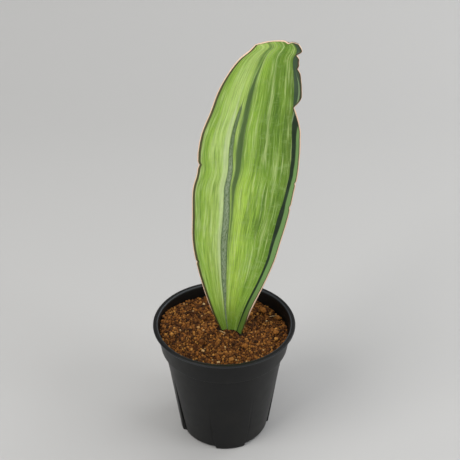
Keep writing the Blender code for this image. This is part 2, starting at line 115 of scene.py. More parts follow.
class Shade:
    """Builds one material's node tree with short calls."""

    def __init__(self, name: str) -> None:
        """Starts a material that holds a Principled shader only."""
        self.material = bpy.data.materials.new(name)
        self.material.use_nodes = True
        self.nodes = self.material.node_tree.nodes
        self.links = self.material.node_tree.links
        self.shader = self.nodes["Principled BSDF"]

    def put(self, socket: Any, value: Any) -> None:
        """Links a socket to a socket, or sets its plain value."""
        if isinstance(value, bpy.types.NodeSocket):
            self.links.new(value, socket)
        elif isinstance(value, tuple) and len(value) == 3 and socket.type == 'RGBA':
            socket.default_value = (*value, 1.0)
        else:
            socket.default_value = value

    def add(self, kind: str, inputs: dict[Any, Any] | None = None, **settings: Any) -> Any:
        """Adds a node.

        Args:
            kind: the node's type.
            inputs: values or sockets by input name or number.
            **settings: the node's own properties.

        Returns:
            The node.
        """
        node = self.nodes.new(kind)
        for key, value in settings.items():
            setattr(node, key, value)
        for key, value in (inputs or {}).items():
            self.put(node.inputs[key], value)
        return node

    def math(self, operation: str, a: Any, b: Any = 0.0, c: Any = 0.0) -> Any:
        """A Math node's result."""
        node = self.add('ShaderNodeMath', {0: a, 1: b}, operation=operation)
        if operation == 'MULTIPLY_ADD':
            self.put(node.inputs[2], c)
        return node.outputs[0]

    def times(self, a: Any, b: Any) -> Any:
        """a times b."""
        return self.math('MULTIPLY', a, b)

    def line(self, a: Any, b: Any, c: Any) -> Any:
        """a times b, plus c."""
        return self.math('MULTIPLY_ADD', a, b, c)

    def fit(self, value: Any, low: float, high: float, to: tuple[float, float] = (0.0, 1.0)) -> Any:
        """Eased map from low..high to the range in to."""
        node = self.add('ShaderNodeMapRange', {'Value': value}, interpolation_type='SMOOTHSTEP')
        for name, number in zip(('From Min', 'From Max', 'To Min', 'To Max'), (low, high, *to)):
            node.inputs[name].default_value = number
        return node.outputs[0]

    def mix(self, share: Any, a: Any, b: Any, blend: str = 'MIX') -> Any:
        """Colour mix of a and b."""
        node = self.add('ShaderNodeMix', data_type='RGBA', blend_type=blend)
        for key, value in ((0, share), (6, a), (7, b)):
            self.put(node.inputs[key], value)
        return node.outputs[2]

    def ramp(self, value: Any, stops: Sequence[tuple[float, Colour]]) -> Any:
        """Colour ramp through the stops."""
        node = self.add('ShaderNodeValToRGB', {0: value})
        ramp = node.color_ramp
        while len(ramp.elements) < len(stops):
            ramp.elements.new(0.5)
        for element, (place, colour) in zip(ramp.elements, stops):
            element.position = place
            element.color = (*colour, 1.0)
        return node.outputs[0]

    def curve(self, value: Any, points: Sequence[tuple[float, float]]) -> Any:
        """A smooth number that follows the points as value goes from 0 to 1."""
        node = self.add('ShaderNodeFloatCurve', {1: value})
        curve = node.mapping.curves[0]
        while len(curve.points) < len(points):
            curve.points.new(0.5, 0.5)
        for point, (x, y) in zip(curve.points, points):
            point.location = (x, y)
        node.mapping.update()
        return node.outputs[0]

    def vector(self, x: Any = 0.0, y: Any = 0.0, z: Any = 0.0) -> Any:
        """Three numbers as a vector."""
        return self.add('ShaderNodeCombineXYZ', {0: x, 1: y, 2: z}).outputs[0]

    def split(self, vector: Any) -> Any:
        """The X, Y and Z sockets of a vector."""
        return self.add('ShaderNodeSeparateXYZ', {0: vector}).outputs

    def noise(self, vector: Any, scale: float, detail: float = 2.0, rough: float = 0.5) -> Any:
        """Noise from 0 to 1."""
        node = self.add('ShaderNodeTexNoise', {
            'Vector': vector, 'Scale': scale, 'Detail': detail, 'Roughness': rough})
        return node.outputs[0]

    def place(self) -> Any:
        """Object coordinates in metres."""
        return self.add('ShaderNodeTexCoord').outputs['Object']

    def attribute(self, name: str) -> Any:
        """A number stored on the mesh."""
        return self.add('ShaderNodeAttribute', attribute_name=name).outputs['Fac']

    def bump(self, height: Any, depth: float, strength: float = 1.0, below: Any = None) -> None:
        """Bump of this depth in metres on the shader's normal."""
        node = self.add('ShaderNodeBump', {'Height': height, 'Distance': depth, 'Strength': strength})
        if below is not None:
            self.links.new(below, node.inputs['Normal'])
        self.links.new(node.outputs[0], self.shader.inputs['Normal'])

    def finish(self, **sockets: Any) -> bpy.types.Material:
        """Sets the shader's sockets, underscores standing for spaces, and gives the material."""
        for name, value in sockets.items():
            self.put(self.shader.inputs[name.replace('_', ' ')], value)
        return self.material


@dataclass(frozen=True)
class PotPlastic:
    """Satin black moulded plastic: a dusty film, painted shade in the creases, painted highlights on the
    lip's edges.
    """

    black: Colour = srgb(8, 9, 9)
    dust: Colour = srgb(58, 54, 46)
    # Near-black for the painted shade in the creases and under the collar.
    crease_shade: Colour = srgb(3, 3, 3)
    # Pale blue-grey for the painted highlights on the lip's edges.
    lip_highlight_grey: Colour = srgb(96, 102, 108)
    roughness: float = 0.37

    def material(self) -> bpy.types.Material:
        """The finish as a material."""
        shade = Shade("pot_plastic")
        place = shade.place()
        cloud = shade.noise(place, 38.0, 4.0, 0.6)
        specks = shade.fit(shade.noise(place, 900.0, 2.0), 0.66, 0.74)
        height = shade.split(place)[2]
        low = shade.fit(height, 0.03, 0.0)
        film = shade.times(shade.fit(cloud, 0.45, 0.75), 0.10)
        film = shade.math('ADD', film, shade.times(specks, 0.10))
        film = shade.math('ADD', film, shade.times(low, 0.05))
        colour = shade.mix(film, self.black, self.dust)
        # Painted shade: darker along the steps beside the foot panels and under the collar, where shade
        # falls.
        crease = shade.attribute("crease")
        colour = shade.mix(shade.times(crease, 0.5), colour, self.crease_shade)
        # Painted highlight: pale blue-grey along the lip's inner and outer edges, where light glints on them.
        rub = shade.attribute("rub")
        colour = shade.mix(shade.times(rub, 0.36), colour, self.lip_highlight_grey)
        rough = shade.line(shade.noise(place, 120.0, 3.0), 0.12, self.roughness)
        rough = shade.line(crease, 0.2, rough)
        shade.bump(shade.noise(place, 1400.0, 2.0), 0.05 * MM, 0.35)
        return shade.finish(Base_Color=colour, Roughness=rough, Specular_IOR_Level=0.25)


@dataclass(frozen=True)
class GranuleClay:
    """Dry fired clay: a colour for each grain from its own tone, with pits and a dusty bloom."""

    name: str = "granule_clay"
    dark: Colour = srgb(42, 21, 6)
    brown: Colour = srgb(92, 52, 16)
    tan: Colour = srgb(144, 90, 34)
    sand: Colour = srgb(182, 128, 60)
    pale: Colour = srgb(204, 172, 122)

    def material(self) -> bpy.types.Material:
        """The finish as a material."""
        shade = Shade(self.name)
        place = shade.place()
        tone = shade.attribute("tone")
        base = shade.ramp(tone, (
            (0.0, self.dark), (0.45, self.brown), (0.84, self.tan), (0.985, self.sand), (1.0, self.pale)))
        grain = shade.noise(place, 1500.0, 3.0, 0.65)
        colour = shade.mix(shade.fit(grain, 0.35, 0.7, (0.0, 0.45)), base, self.dark)
        bloom = shade.noise(place, 420.0, 2.0)
        colour = shade.mix(shade.fit(bloom, 0.5, 0.8, (0.0, 0.3)), colour, self.sand)
        shade.bump(grain, 0.25 * MM, 0.7)
        return shade.finish(Base_Color=colour, Roughness=0.93, Specular_IOR_Level=0.25)


@dataclass(frozen=True)
class SoilBed:
    """The dark mass between the granules."""

    dark: Colour = srgb(24, 12, 5)
    brown: Colour = srgb(50, 27, 9)

    def material(self) -> bpy.types.Material:
        """The finish as a material."""
        shade = Shade("soil_bed")
        grain = shade.noise(shade.place(), 520.0, 4.0, 0.6)
        colour = shade.mix(shade.fit(grain, 0.4, 0.7), self.dark, self.brown)
        shade.bump(grain, 0.8 * MM, 0.9)
        return shade.finish(Base_Color=colour, Roughness=0.96, Specular_IOR_Level=0.2)


@dataclass(frozen=True)
class DryFibre:
    """Straw-coloured fibre with fine lengthwise lines."""

    name: str
    light: Colour = srgb(214, 190, 146)
    shadow: Colour = srgb(150, 116, 72)

    def material(self) -> bpy.types.Material:
        """The finish as a material."""
        shade = Shade(self.name)
        x, y, z = shade.split(shade.place())[:3]
        drawn = shade.vector(x, shade.times(y, 9.0), shade.times(z, 9.0))
        lines = shade.noise(drawn, 420.0, 3.0)
        colour = shade.mix(shade.fit(lines, 0.35, 0.65), self.shadow, self.light)
        shade.bump(lines, 0.1 * MM, 0.6)
        return shade.finish(Base_Color=colour, Roughness=0.75)


@dataclass(frozen=True)
class RhizomeSkin:
    """Orange-brown rhizome and root skin, scarred round its rings."""

    light: Colour = srgb(206, 142, 82)
    dark: Colour = srgb(140, 82, 42)

    def material(self) -> bpy.types.Material:
        """The finish as a material."""
        shade = Shade("rhizome_skin")
        place = shade.place()
        blotch = shade.noise(place, 160.0, 4.0, 0.6)
        colour = shade.mix(shade.fit(blotch, 0.4, 0.65), self.dark, self.light)
        shade.bump(shade.noise(place, 700.0, 3.0), 0.2 * MM, 0.5)
        return shade.finish(Base_Color=colour, Roughness=0.62)


@dataclass(frozen=True)
class LeafSkin:
    """Variegated leaf: lengthwise green streaks, two dark stripes, a dark band and a brown, pale margin.

    The pattern reads the leaf's own map: U runs across from the left margin and V along from the foot.
    """

    length: float
    foot: float
    margin_pale: Colour = srgb(240, 208, 178)
    margin_brown: Colour = srgb(70, 62, 32)
    stripe_grey: Colour = srgb(154, 168, 142)
    stripe_dark: Colour = srgb(70, 98, 48)
    band_dark: Colour = srgb(16, 40, 10)
    lobe_dark: Colour = srgb(62, 84, 58)
    strip_green: Colour = srgb(118, 156, 88)
    # Darker green of the strip at the foot: partly its colour, partly painted shade.
    strip_foot: Colour = srgb(84, 112, 40)
    lobe_bloom: Colour = srgb(96, 122, 88)
    crease_pale: Colour = srgb(150, 176, 120)
    cross_band: Colour = srgb(92, 122, 72)
    mottle_pale: Colour = srgb(164, 192, 116)
    cream: Colour = srgb(218, 240, 156)
    beside: Colour = srgb(216, 232, 178)
    deep: Colour = srgb(66, 106, 16)
    olive: Colour = srgb(90, 110, 45)
    forest: Colour = srgb(108, 146, 40)
    grass: Colour = srgb(120, 158, 45)
    meadow: Colour = srgb(130, 168, 50)
    rim_green: Colour = srgb(132, 164, 82)
    apple: Colour = srgb(160, 200, 70)
    meal: Colour = srgb(174, 206, 92)
    lime: Colour = srgb(186, 222, 80)
    milk: Colour = srgb(192, 222, 120)

    def along(self, height: float) -> float:
        """V at a height in millimetres above the soil."""
        return (height * MM + self.foot) / self.length

    def points(self, *pairs: tuple[float, float]) -> list[tuple[float, float]]:
        """Curve points from (height in mm, value) pairs."""
        return [(self.along(height), value) for height, value in pairs]

    def drawn(self, shade: Shade, across: Any, along: Any, wide: float, run: float, seed: float = 0.0,
              detail: float = 2.0, rough: float = 0.5) -> Any:
        """Noise with wide waves over the leaf's width and run waves over its length."""
        place = shade.vector(shade.times(across, wide), shade.times(along, run), seed)
        return shade.noise(place, 1.0, detail, rough)

    def material(self) -> bpy.types.Material:
        """The finish as a material."""
        shade = Shade("leaf_skin")
        across, along = shade.split(shade.add('ShaderNodeUVMap', uv_map="leaf_place").outputs[0])[:2]
        edge = shade.attribute("edge_mm")
        back = shade.attribute("back")
        sway = self.drawn(shade, across, along, 3.0, 7.0)
        drift = shade.line(sway, 0.030, -0.015)
        u = shade.math('ADD', across, drift)

        colour = self.ground(shade, u, along)
        colour = self.streaks(shade, colour, u, along)
        colour = self.stripes(shade, colour, across, along)
        colour = self.band(shade, colour, across, along)
        colour = self.back_bands(shade, colour, back, across, along)
        # Floor that curves up into a backdrop.
        colour = self.margin(shade, colour, across, along, edge)

        veins = self.drawn(shade, u, along, 90.0, 5.0, detail=3.0)
        pores = shade.noise(shade.place(), 2600.0, 2.0)
        relief = shade.line(pores, 0.25, veins)
        shade.bump(relief, 0.22 * MM, 0.55)
        rough = shade.line(veins, 0.14, 0.40)
        return shade.finish(
            Base_Color=colour, Roughness=rough, Subsurface_Weight=0.08, Subsurface_Scale=0.002,
            Specular_IOR_Level=0.42)

    def ground(self, shade: Shade, u: Any, along: Any) -> Any:
        """Broad colours across the leaf, blended along it; the darker greens at the foot are partly its
        colour, partly painted shade.
        """
        # Darker greens at the foot: partly the leaf's colour, partly painted shade near the soil.
        foot = shade.ramp(u, (
            (0.0, self.forest), (0.1, self.grass), (0.35, self.forest), (0.6, self.meadow), (0.7, self.grass),
            (0.9, self.olive)))
        low = shade.ramp(u, (
            (0.0, self.rim_green), (0.1, self.apple), (0.3, self.meal), (0.55, self.lime), (0.7, self.apple),
            (0.85, self.meadow), (1.0, self.grass)))
        middle = shade.ramp(u, (
            (0.0, self.rim_green), (0.1, self.apple), (0.2, self.meal), (0.3, self.milk), (0.4, self.meal),
            (0.5, self.lime), (0.65, self.apple), (0.75, self.meadow), (0.9, self.forest),
            (1.0, self.rim_green)))
        high = shade.ramp(u, (
            (0.0, self.rim_green), (0.1, self.apple), (0.25, self.milk), (0.35, self.meal),
            (0.4, self.rim_green), (0.5, self.apple), (0.65, self.forest), (0.8, self.grass),
            (1.0, self.olive)))
        colour = shade.mix(shade.fit(along, self.along(4.0), self.along(38.0)), foot, low)
        colour = shade.mix(shade.fit(along, self.along(44.0), self.along(78.0)), colour, middle)
        return shade.mix(shade.fit(along, self.along(120.0), self.along(175.0)), colour, high)

    def streaks(self, shade: Shade, colour: Any, u: Any, along: Any) -> Any:
        """Fine lengthwise streaks, pale and deep, and faint cross mottling."""
        def lines(width: float, run: float, seed: float) -> Any:
            """Noise drawn out along the leaf: width lines across and run lengths along."""
            place = shade.vector(shade.line(u, width, seed), shade.times(along, run), seed)
            return shade.noise(place, 1.0, 2.5, 0.6)

        right = shade.fit(u, 0.35, 0.65, (0.5, 1.0))
        # Pale streaks weaker towards the foot: partly the leaf's colour, partly painted shade near the soil.
        risen = shade.fit(along, self.along(8.0), self.along(52.0), (0.35, 1.0))
        broad = lines(16.0, 3.4, 3.1)
        fine = lines(54.0, 8.5, 8.4)
        hair = lines(150.0, 15.0, 5.7)
        pale = shade.times(shade.times(shade.fit(broad, 0.54, 0.72), 0.5), risen)
        colour = shade.mix(pale, colour, self.cream)
        dark = shade.times(shade.times(shade.fit(broad, 0.47, 0.33), right), 0.55)
        colour = shade.mix(dark, colour, self.deep)
        pale = shade.times(shade.times(shade.fit(fine, 0.53, 0.70), 0.55), risen)
        colour = shade.mix(pale, colour, self.cream)
        dark = shade.times(shade.times(shade.fit(fine, 0.45, 0.28), right), 0.6)
        colour = shade.mix(dark, colour, self.deep)
        colour = shade.mix(shade.fit(hair, 0.47, 0.66, (0.0, 0.42)), colour, self.deep)
        colour = shade.mix(shade.fit(hair, 0.44, 0.28, (0.0, 0.4)), colour, self.cream)
        mottle = self.drawn(shade, u, along, 9.0, 70.0, 1.7, 3.0, 0.6)
        faint = shade.times(shade.fit(mottle, 0.5, 0.72), right)
        return shade.mix(shade.times(faint, 0.3), colour, self.mottle_pale)

    def stripe_mask(self, shade: Shade, across: Any, along: Any, centre: list, half: list,
                    soft: float) -> Any:
        """1 inside a stripe whose centre and half width follow the leaf."""
        fray = self.drawn(shade, across, along, 120.0, 60.0)
        away = shade.math('ABSOLUTE', shade.math('SUBTRACT', across, shade.curve(along, centre)))
        away = shade.line(fray, 0.008, shade.math('SUBTRACT', away, 0.004))
        inside = shade.math('SUBTRACT', shade.times(shade.curve(along, half), 0.1), away)
        return shade.fit(inside, -soft, soft)

    def stripes(self, shade: Shade, colour: Any, across: Any, along: Any) -> Any:
        """The two dark stripes left of the middle, with a cream line beside the first."""
        centre = self.points(
            (-15.0, 0.37), (10.0, 0.366), (31.0, 0.376), (52.0, 0.366), (81.0, 0.365), (100.0, 0.364),
            (128.0, 0.35), (145.0, 0.334), (170.0, 0.326), (192.0, 0.33), (208.0, 0.336), (240.0, 0.36))
        half = self.points(
            (-15.0, 0.12), (10.0, 0.2), (31.0, 0.32), (52.0, 0.4), (81.0, 0.42), (100.0, 0.4),
            (128.0, 0.33), (145.0, 0.29), (163.0, 0.24), (180.0, 0.21), (196.0, 0.2), (206.0, 0.14),
            (213.0, 0.0), (240.0, 0.0))
        first = self.stripe_mask(shade, across, along, centre, half, 0.006)
        next_to = [(v, u - 0.05) for v, u in centre]
        width = self.points(
            (-15.0, 0.0), (12.0, 0.0), (60.0, 0.2), (130.0, 0.26), (190.0, 0.22), (215.0, 0.05), (240.0, 0.0))
        cream = self.stripe_mask(shade, across, along, next_to, width, 0.012)
        colour = shade.mix(shade.times(cream, 0.5), colour, self.beside)
        fleck = self.drawn(shade, across, along, 150.0, 80.0, 4.2, 3.0, 0.7)
        core = self.stripe_mask(shade, across, along, centre, [(v, 0.62 * w) for v, w in half], 0.008)
        grey = shade.times(shade.fit(fleck, 0.36, 0.58), shade.line(core, 0.75, 0.25))
        inner = shade.mix(grey, self.stripe_dark, self.stripe_grey)
        darker = shade.fit(along, self.along(150.0), self.along(190.0), (0.0, 0.6))
        inner = shade.mix(darker, inner, self.stripe_dark)
        colour = shade.mix(shade.times(first, 0.92), colour, inner)

        centre = self.points(
            (-15.0, 0.43), (100.0, 0.416), (128.0, 0.41), (145.0, 0.40), (171.0, 0.408), (192.0, 0.418),
            (213.0, 0.41), (229.0, 0.425), (245.0, 0.45), (255.0, 0.46))
        half = self.points(
            (-15.0, 0.0), (60.0, 0.0), (100.0, 0.06), (128.0, 0.14), (145.0, 0.24), (163.0, 0.28),
            (171.0, 0.32), (192.0, 0.26), (213.0, 0.28), (229.0, 0.16), (243.0, 0.06), (252.0, 0.0))
        second = self.stripe_mask(shade, across, along, centre, half, 0.012)
        return shade.mix(shade.times(second, 0.88), colour, self.stripe_dark)

    def band(self, shade: Shade, colour: Any, across: Any, along: Any) -> Any:
        """The dark band near the right margin, the light strip beyond it and the dark lobes above."""
        left = shade.curve(along, self.points(
            (-15.0, 0.84), (10.0, 0.85), (31.0, 0.865), (62.0, 0.90), (90.0, 0.90), (114.0, 0.895),
            (128.0, 0.913), (145.0, 0.918), (171.0, 0.917), (196.0, 0.912), (215.0, 0.91), (232.0, 0.905),
            (255.0, 0.90)))
        right = shade.curve(along, self.points(
            (-15.0, 0.868), (10.0, 0.882), (31.0, 0.904), (62.0, 0.93), (90.0, 0.934), (114.0, 0.945),
            (128.0, 0.945), (145.0, 0.952), (171.0, 0.958), (190.0, 0.965), (200.0, 1.0), (255.0, 1.0)))
        fray = self.drawn(shade, across, along, 60.0, 26.0, 9.0)
        place = shade.line(fray, 0.010, shade.math('SUBTRACT', across, 0.005))
        past_left = shade.fit(shade.math('SUBTRACT', place, left), -0.004, 0.004)
        past_right = shade.fit(shade.math('SUBTRACT', place, right), -0.006, 0.006)
        # The strip beyond the band is darker towards the foot: partly its colour, partly painted shade.
        risen = shade.fit(along, self.along(10.0), self.along(60.0))
        strip = shade.mix(risen, self.strip_foot, self.strip_green)
        in_lobes = shade.fit(along, self.along(190.0), self.along(225.0))
        dark = shade.mix(in_lobes, self.band_dark, self.lobe_dark)
        bloom = self.drawn(shade, across, along, 34.0, 14.0, 2.0, 3.0)
        dark = shade.mix(shade.fit(bloom, 0.5, 0.75, (0.0, 0.2)), dark, self.lobe_bloom)
        colour = shade.mix(past_left, colour, dark)
        colour = shade.mix(past_right, colour, strip)
        crease = self.points(
            (-15.0, 0.9), (190.0, 0.905), (205.0, 0.925), (215.0, 0.962), (226.0, 0.965), (236.0, 0.94),
            (255.0, 0.93))
        width = self.points(
            (-15.0, 0.0), (192.0, 0.0), (200.0, 0.06), (226.0, 0.055), (236.0, 0.0), (255.0, 0.0))
        line = self.stripe_mask(shade, across, along, crease, width, 0.004)
        return shade.mix(shade.times(line, 0.7), colour, self.crease_pale)

    def back_bands(self, shade: Shade, colour: Any, back: Any, across: Any, along: Any) -> Any:
        """Faint wavy cross bands that the leaf's back carries more strongly than its front."""
        wave = self.drawn(shade, across, along, 2.2, 34.0, 6.0)
        share = shade.times(shade.fit(wave, 0.45, 0.65), shade.line(back, 0.3, 0.06))
        return shade.mix(share, colour, self.cross_band)

    def margin(self, shade: Shade, colour: Any, across: Any, along: Any, edge: Any) -> Any:
        """The reddish-brown line inside the margin and the papery pale rim outside it."""
        wander = shade.noise(shade.vector(shade.times(along, 40.0)), 1.0, 3.0)
        left = shade.fit(across, 0.6, 0.4)
        brown_to = shade.line(left, 1.3, shade.line(wander, 0.6, 0.75))
        pale_to = shade.line(left, 0.08, shade.line(wander, 0.3, 0.42))
        risen = shade.fit(along, self.along(201.0), self.along(214.0))
        lobes = shade.times(risen, shade.fit(across, 0.7, 0.9))
        pale_to = shade.line(lobes, -0.4, pale_to)
        buried = shade.fit(along, self.along(34.0), self.along(4.0))
        brown_to = shade.line(buried, -0.9, brown_to)
        pale_to = shade.line(buried, -0.8, pale_to)
        brown = shade.fit(shade.math('SUBTRACT', brown_to, edge), -0.4, 0.25)
        pale = shade.fit(shade.math('SUBTRACT', pale_to, edge), -0.08, 0.08)
        colour = shade.mix(shade.times(brown, 0.92), colour, self.margin_brown)
        return shade.mix(pale, colour, self.margin_pale)


# ------------------------------------------------------------------ mesh helpers

def new_object(name: str, mesh: bpy.types.Mesh, material: bpy.types.Material | None) -> bpy.types.Object:
    """Links a mesh into the scene as an object at the origin."""
    if material is not None:
        mesh.materials.clear()
        mesh.materials.append(material)
    piece = bpy.data.objects.new(name, mesh)
    bpy.context.scene.collection.objects.link(piece)
    return piece


def finished(mesh: bmesh.types.BMesh, name: str, smooth: bool = True) -> bpy.types.Mesh:
    """The mesh data that a working mesh holds, which is then freed."""
    data = bpy.data.meshes.new(name)
    mesh.to_mesh(data)
    mesh.free()
    if smooth:
        data.shade_smooth()
    return data


def join_rows(mesh: bmesh.types.BMesh, loops: list) -> None:
    """Quads between closed rows of equally many points."""
    count = len(loops[0])
    for lower, upper in zip(loops, loops[1:]):
        for i in range(count):
            j = (i + 1) % count
            mesh.faces.new((lower[i], lower[j], upper[j], upper[i]))


def loft(name: str, rings: Sequence[Sequence[Vector]], material: bpy.types.Material | None,
         sharp_angle: float = 40.0) -> bpy.types.Object:
    """One closed body through rings of equally many points.

    Args:
        name: the piece's name.
        rings: closed rings in order; the first and the last get a flat cap.
        material: its finish.
        sharp_angle: degrees past which an edge stays crisp.

    Returns:
        The piece.
    """
    mesh = bmesh.new()
    loops = [[mesh.verts.new(point) for point in ring] for ring in rings]
    join_rows(mesh, loops)
    mesh.faces.new(loops[0][::-1])
    mesh.faces.new(loops[-1])
    bmesh.ops.triangulate(mesh, faces=[face for face in mesh.faces if len(face.verts) > 4])
    bmesh.ops.recalc_face_normals(mesh, faces=mesh.faces)
    data = finished(mesh, name)
    data.set_sharp_from_angle(angle=math.radians(sharp_angle))
    return new_object(name, data, material)


def baked(piece: bpy.types.Object) -> bpy.types.Object:
    """The piece with its modifiers applied to its mesh."""
    graph = bpy.context.evaluated_depsgraph_get()
    mesh = bpy.data.meshes.new_from_object(piece.evaluated_get(graph))
    piece.modifiers.clear()
    piece.data = mesh
    return piece


def store(mesh: bpy.types.Mesh, name: str, values: Sequence[float]) -> None:
    """Stores one number for each vertex."""
    mesh.attributes.new(name, 'FLOAT', 'POINT').data.foreach_set('value', values)


def settle(piece: bpy.types.Object, slot: str, *nodes: str) -> bpy.types.Object:
    """Puts a finished piece on the root body, in the place of its CAD nodes."""
    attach(piece, "root")
    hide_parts(*nodes)
    LOG.info("%s: %d faces", piece.name, len(piece.data.polygons))
    return piece


# ------------------------------------------------------------------ pot

@dataclass
class Pot:
    """The slit nursery pot: lip, collar, tapered body, slits and foot panels."""

    plastic: bpy.types.Material
    height: float
    rim_radius: float
    wall: float = 1.3 * MM
    lip_width: float = 3.2 * MM
    lip_thickness: float = 2.2 * MM
    collar_height: float = 22.5 * MM
    collar_foot_radius: float = 53.8 * MM
    body_top_radius: float = 50.8 * MM
    body_foot_radius: float = 37.5 * MM
    foot_width: float = 3.2 * MM
    floor_rise: float = 3.2 * MM
    floor_crown: float = 1.6 * MM
    hub_radius: float = 6.0 * MM
    panel_lift: float = 1.1 * MM
    panel_proud: float = 1.4 * MM
    foot_panels: int = 4
    foot_azimuth: float = 8.0
    foot_spans: tuple = (46.0, 36.5, 46.0, 36.5)
    sole_taper: float = 7.0
    slit_feet: tuple = (1, 3)
    slant_height: float = 18.0 * MM
    slit_height: float = 62.0 * MM
    slit_width: float = 0.5 * MM
    slit_flare: float = 3.8 * MM
    slit_reach: float = 7.0 * MM
    columns_per_panel: int = 56
    soil_depth: float = 11.0 * MM

    def collar_radius(self, z: float) -> float:
        """Outer radius of the collar at height z."""
        top = self.rim_radius - self.lip_width
        share = (z - (self.height - self.collar_height)) / (self.collar_height - self.lip_thickness)
        return self.collar_foot_radius + (top - self.collar_foot_radius) * share

    def body_radius(self, z: float) -> float:
        """Outer radius of the tapered body at height z."""
        share = z / (self.height - self.collar_height - self.wall)
        return self.body_foot_radius + (self.body_top_radius - self.body_foot_radius) * share

    def inner_radius(self, z: float) -> float:
        """Radius of the inner wall at height z."""
        if z > self.height - self.collar_height + self.wall:
            return self.collar_radius(z) - self.wall
        return self.body_radius(z) - self.wall

    def foot_middle(self, foot: int) -> float:
        """Azimuth of a foot panel's middle."""
        return self.foot_azimuth + 360.0 / self.foot_panels * foot

    def half_span(self, span: float, z: float) -> float:
        """Half the span of a foot panel at height z, where its sides slant in towards its sole."""
        slant = min(max(z, 0.0) / self.slant_height, 1.0)
        return 0.5 * (span - self.sole_taper * (1.0 - slant))

    def foot_edges(self) -> list[tuple[float, int, int]]:
        """(azimuth, side, foot) of each foot panel's edges; side is 1 where the panel lies beyond it."""
        found = []
        for k, span in enumerate(self.foot_spans):
            middle = self.foot_middle(k)
            found += [(middle - 0.5 * span, 1, k), (middle + 0.5 * span, -1, k)]
        return found

    def columns(self) -> list[tuple[float, float | None, float]]:
        """(azimuth, offset from the foot panel's middle or None, panel's span) of each column of the wall."""
        starts = [azimuth for azimuth, _, _ in self.foot_edges()]
        found: list[tuple[float, float | None, float]] = []
        for k, start in enumerate(starts):
            end = starts[k + 1] if k + 1 < len(starts) else starts[0] + 360.0
            for i in range(self.columns_per_panel):
                azimuth = start + (end - start) * i / self.columns_per_panel
                found.append((azimuth, azimuth - 0.5 * (start + end) if k % 2 == 0 else None, end - start))
        return found

    def proud_share(self, offset: float | None, span: float, z: float) -> float:
        """How far a point stands out on its foot panel, from 0 to 1, with a crisp rounded shoulder."""
        if offset is None:
            return 0.0
        half = self.half_span(span, z)
        return smooth_step(half + 0.5, half - 1.5, abs(offset))

    def crease(self, place: Vector) -> float:
        """Share of painted shade and extra roughness at a point, from 0 to 1: beside a foot panel's edge and
        under the collar.
        """
        ledge = self.height - self.collar_height
        under = 0.7 * max(0.0, 1.0 - abs(place.z - (ledge - 2.2 * MM)) / (1.6 * MM))
        if place.z > self.slit_height:
            return under
        azimuth = math.degrees(math.atan2(place.x, -place.y))
        nearest = 180.0
        for k, span in enumerate(self.foot_spans):
            away = abs((azimuth - self.foot_middle(k) + 180.0) % 360.0 - 180.0)
            nearest = min(nearest, abs(away - self.half_span(span, place.z)))
        fade = min(1.0, 1.6 * (1.0 - place.z / self.slit_height))
        return max(under, smooth_step(2.2, 0.8, nearest) * fade)

    def rub(self, place: Vector) -> float:
        """Share of painted highlight at a point, from 0 to 1: along the lip's inner and outer edges."""
        radius = math.hypot(place.x, place.y)
        if place.z < self.height - self.lip_thickness:
            return 0.0
        inner = max(0.0, 1.0 - abs(radius - (self.rim_radius - self.lip_width - 0.3 * MM)) / (0.5 * MM))
        outer = 0.5 * smooth_step(self.rim_radius - 0.35 * MM, self.rim_radius, radius)
        return max(inner * smooth_step(self.height - 1.1 * MM, self.height - 0.3 * MM, place.z), outer)

    def profile(self) -> list[tuple[float, float, float, float]]:
        """(radius, height, share of the proud panel, share of the lift) round the wall's section."""
        ledge = self.height - self.collar_height
        under = self.height - self.lip_thickness
        foot_outer = self.body_radius(0.0)
        foot_inner = foot_outer - self.foot_width
        floor = self.floor_rise + self.wall
        rim = self.rim_radius
        points = [
            (self.hub_radius, self.floor_rise + self.floor_crown, 0.0, 0.0),
            (foot_inner * 0.7, self.floor_rise + self.floor_crown * 0.5, 0.0, 0.0),
            (foot_inner - 1.6 * MM, self.floor_rise, 0.0, 0.0),
            (foot_inner - 0.4 * MM, self.floor_rise * 0.6, 0.0, 0.4),
            (foot_inner, 0.3 * MM, 0.0, 1.0),
            (foot_inner + 0.4 * MM, 0.0, 0.0, 1.0),
            (foot_outer - 1.0 * MM, 0.0, 1.0, 1.0),
            (foot_outer - 0.5 * MM, 0.15 * MM, 1.0, 1.0),
            (foot_outer - 0.15 * MM, 0.5 * MM, 1.0, 1.0),
            (self.body_radius(1.1 * MM), 1.1 * MM, 1.0, 0.9),
        ]
        rows = 32
        for k in range(1, rows + 1):
            z = 1.1 * MM + (self.slit_height - 1.1 * MM) * k / rows
            points.append((self.body_radius(z), z, max(0.0, 1.0 - z / self.slit_height), 0.0))
        points += [(self.body_radius(z), z, 0.0, 0.0) for z in (
            0.8 * ledge, 0.9 * ledge, ledge - 4.0 * MM, ledge - 2.6 * MM)]
        step_radius = self.collar_foot_radius - self.body_top_radius
        for k in range(1, 7):
            turn = 0.5 * math.pi * k / 6
            points.append((
                self.body_top_radius + (step_radius - 0.7 * MM) * (1.0 - math.cos(turn)),
                ledge - 2.2 * MM + 2.2 * MM * math.sin(turn), 0.0, 0.0))
        for k in range(1, 5):
            turn = 0.5 * math.pi * k / 4
            points.append((
                self.collar_foot_radius - 0.7 * MM + 0.7 * MM * math.sin(turn),
                ledge + 0.7 * MM * (1.0 - math.cos(turn)), 0.0, 0.0))
        for share in (0.3, 0.6, 0.85):
            z = ledge + (under - ledge) * share
            points.append((self.collar_radius(z), z, 0.0, 0.0))
        wall_top = self.rim_radius - self.lip_width
        points += [
            (wall_top - 0.05 * MM, under - 1.0 * MM, 0.0, 0.0),
            (wall_top + 0.15 * MM, under - 0.35 * MM, 0.0, 0.0),
            (wall_top + 0.6 * MM, under, 0.0, 0.0),
        ]
        edge = 0.5 * self.lip_thickness
        for k in range(9):
            turn = math.pi * k / 8 - 0.5 * math.pi
            points.append((
                rim - edge + edge * math.cos(turn), under + edge + edge * math.sin(turn), 0.0, 0.0))
        inner = self.inner_radius(under)
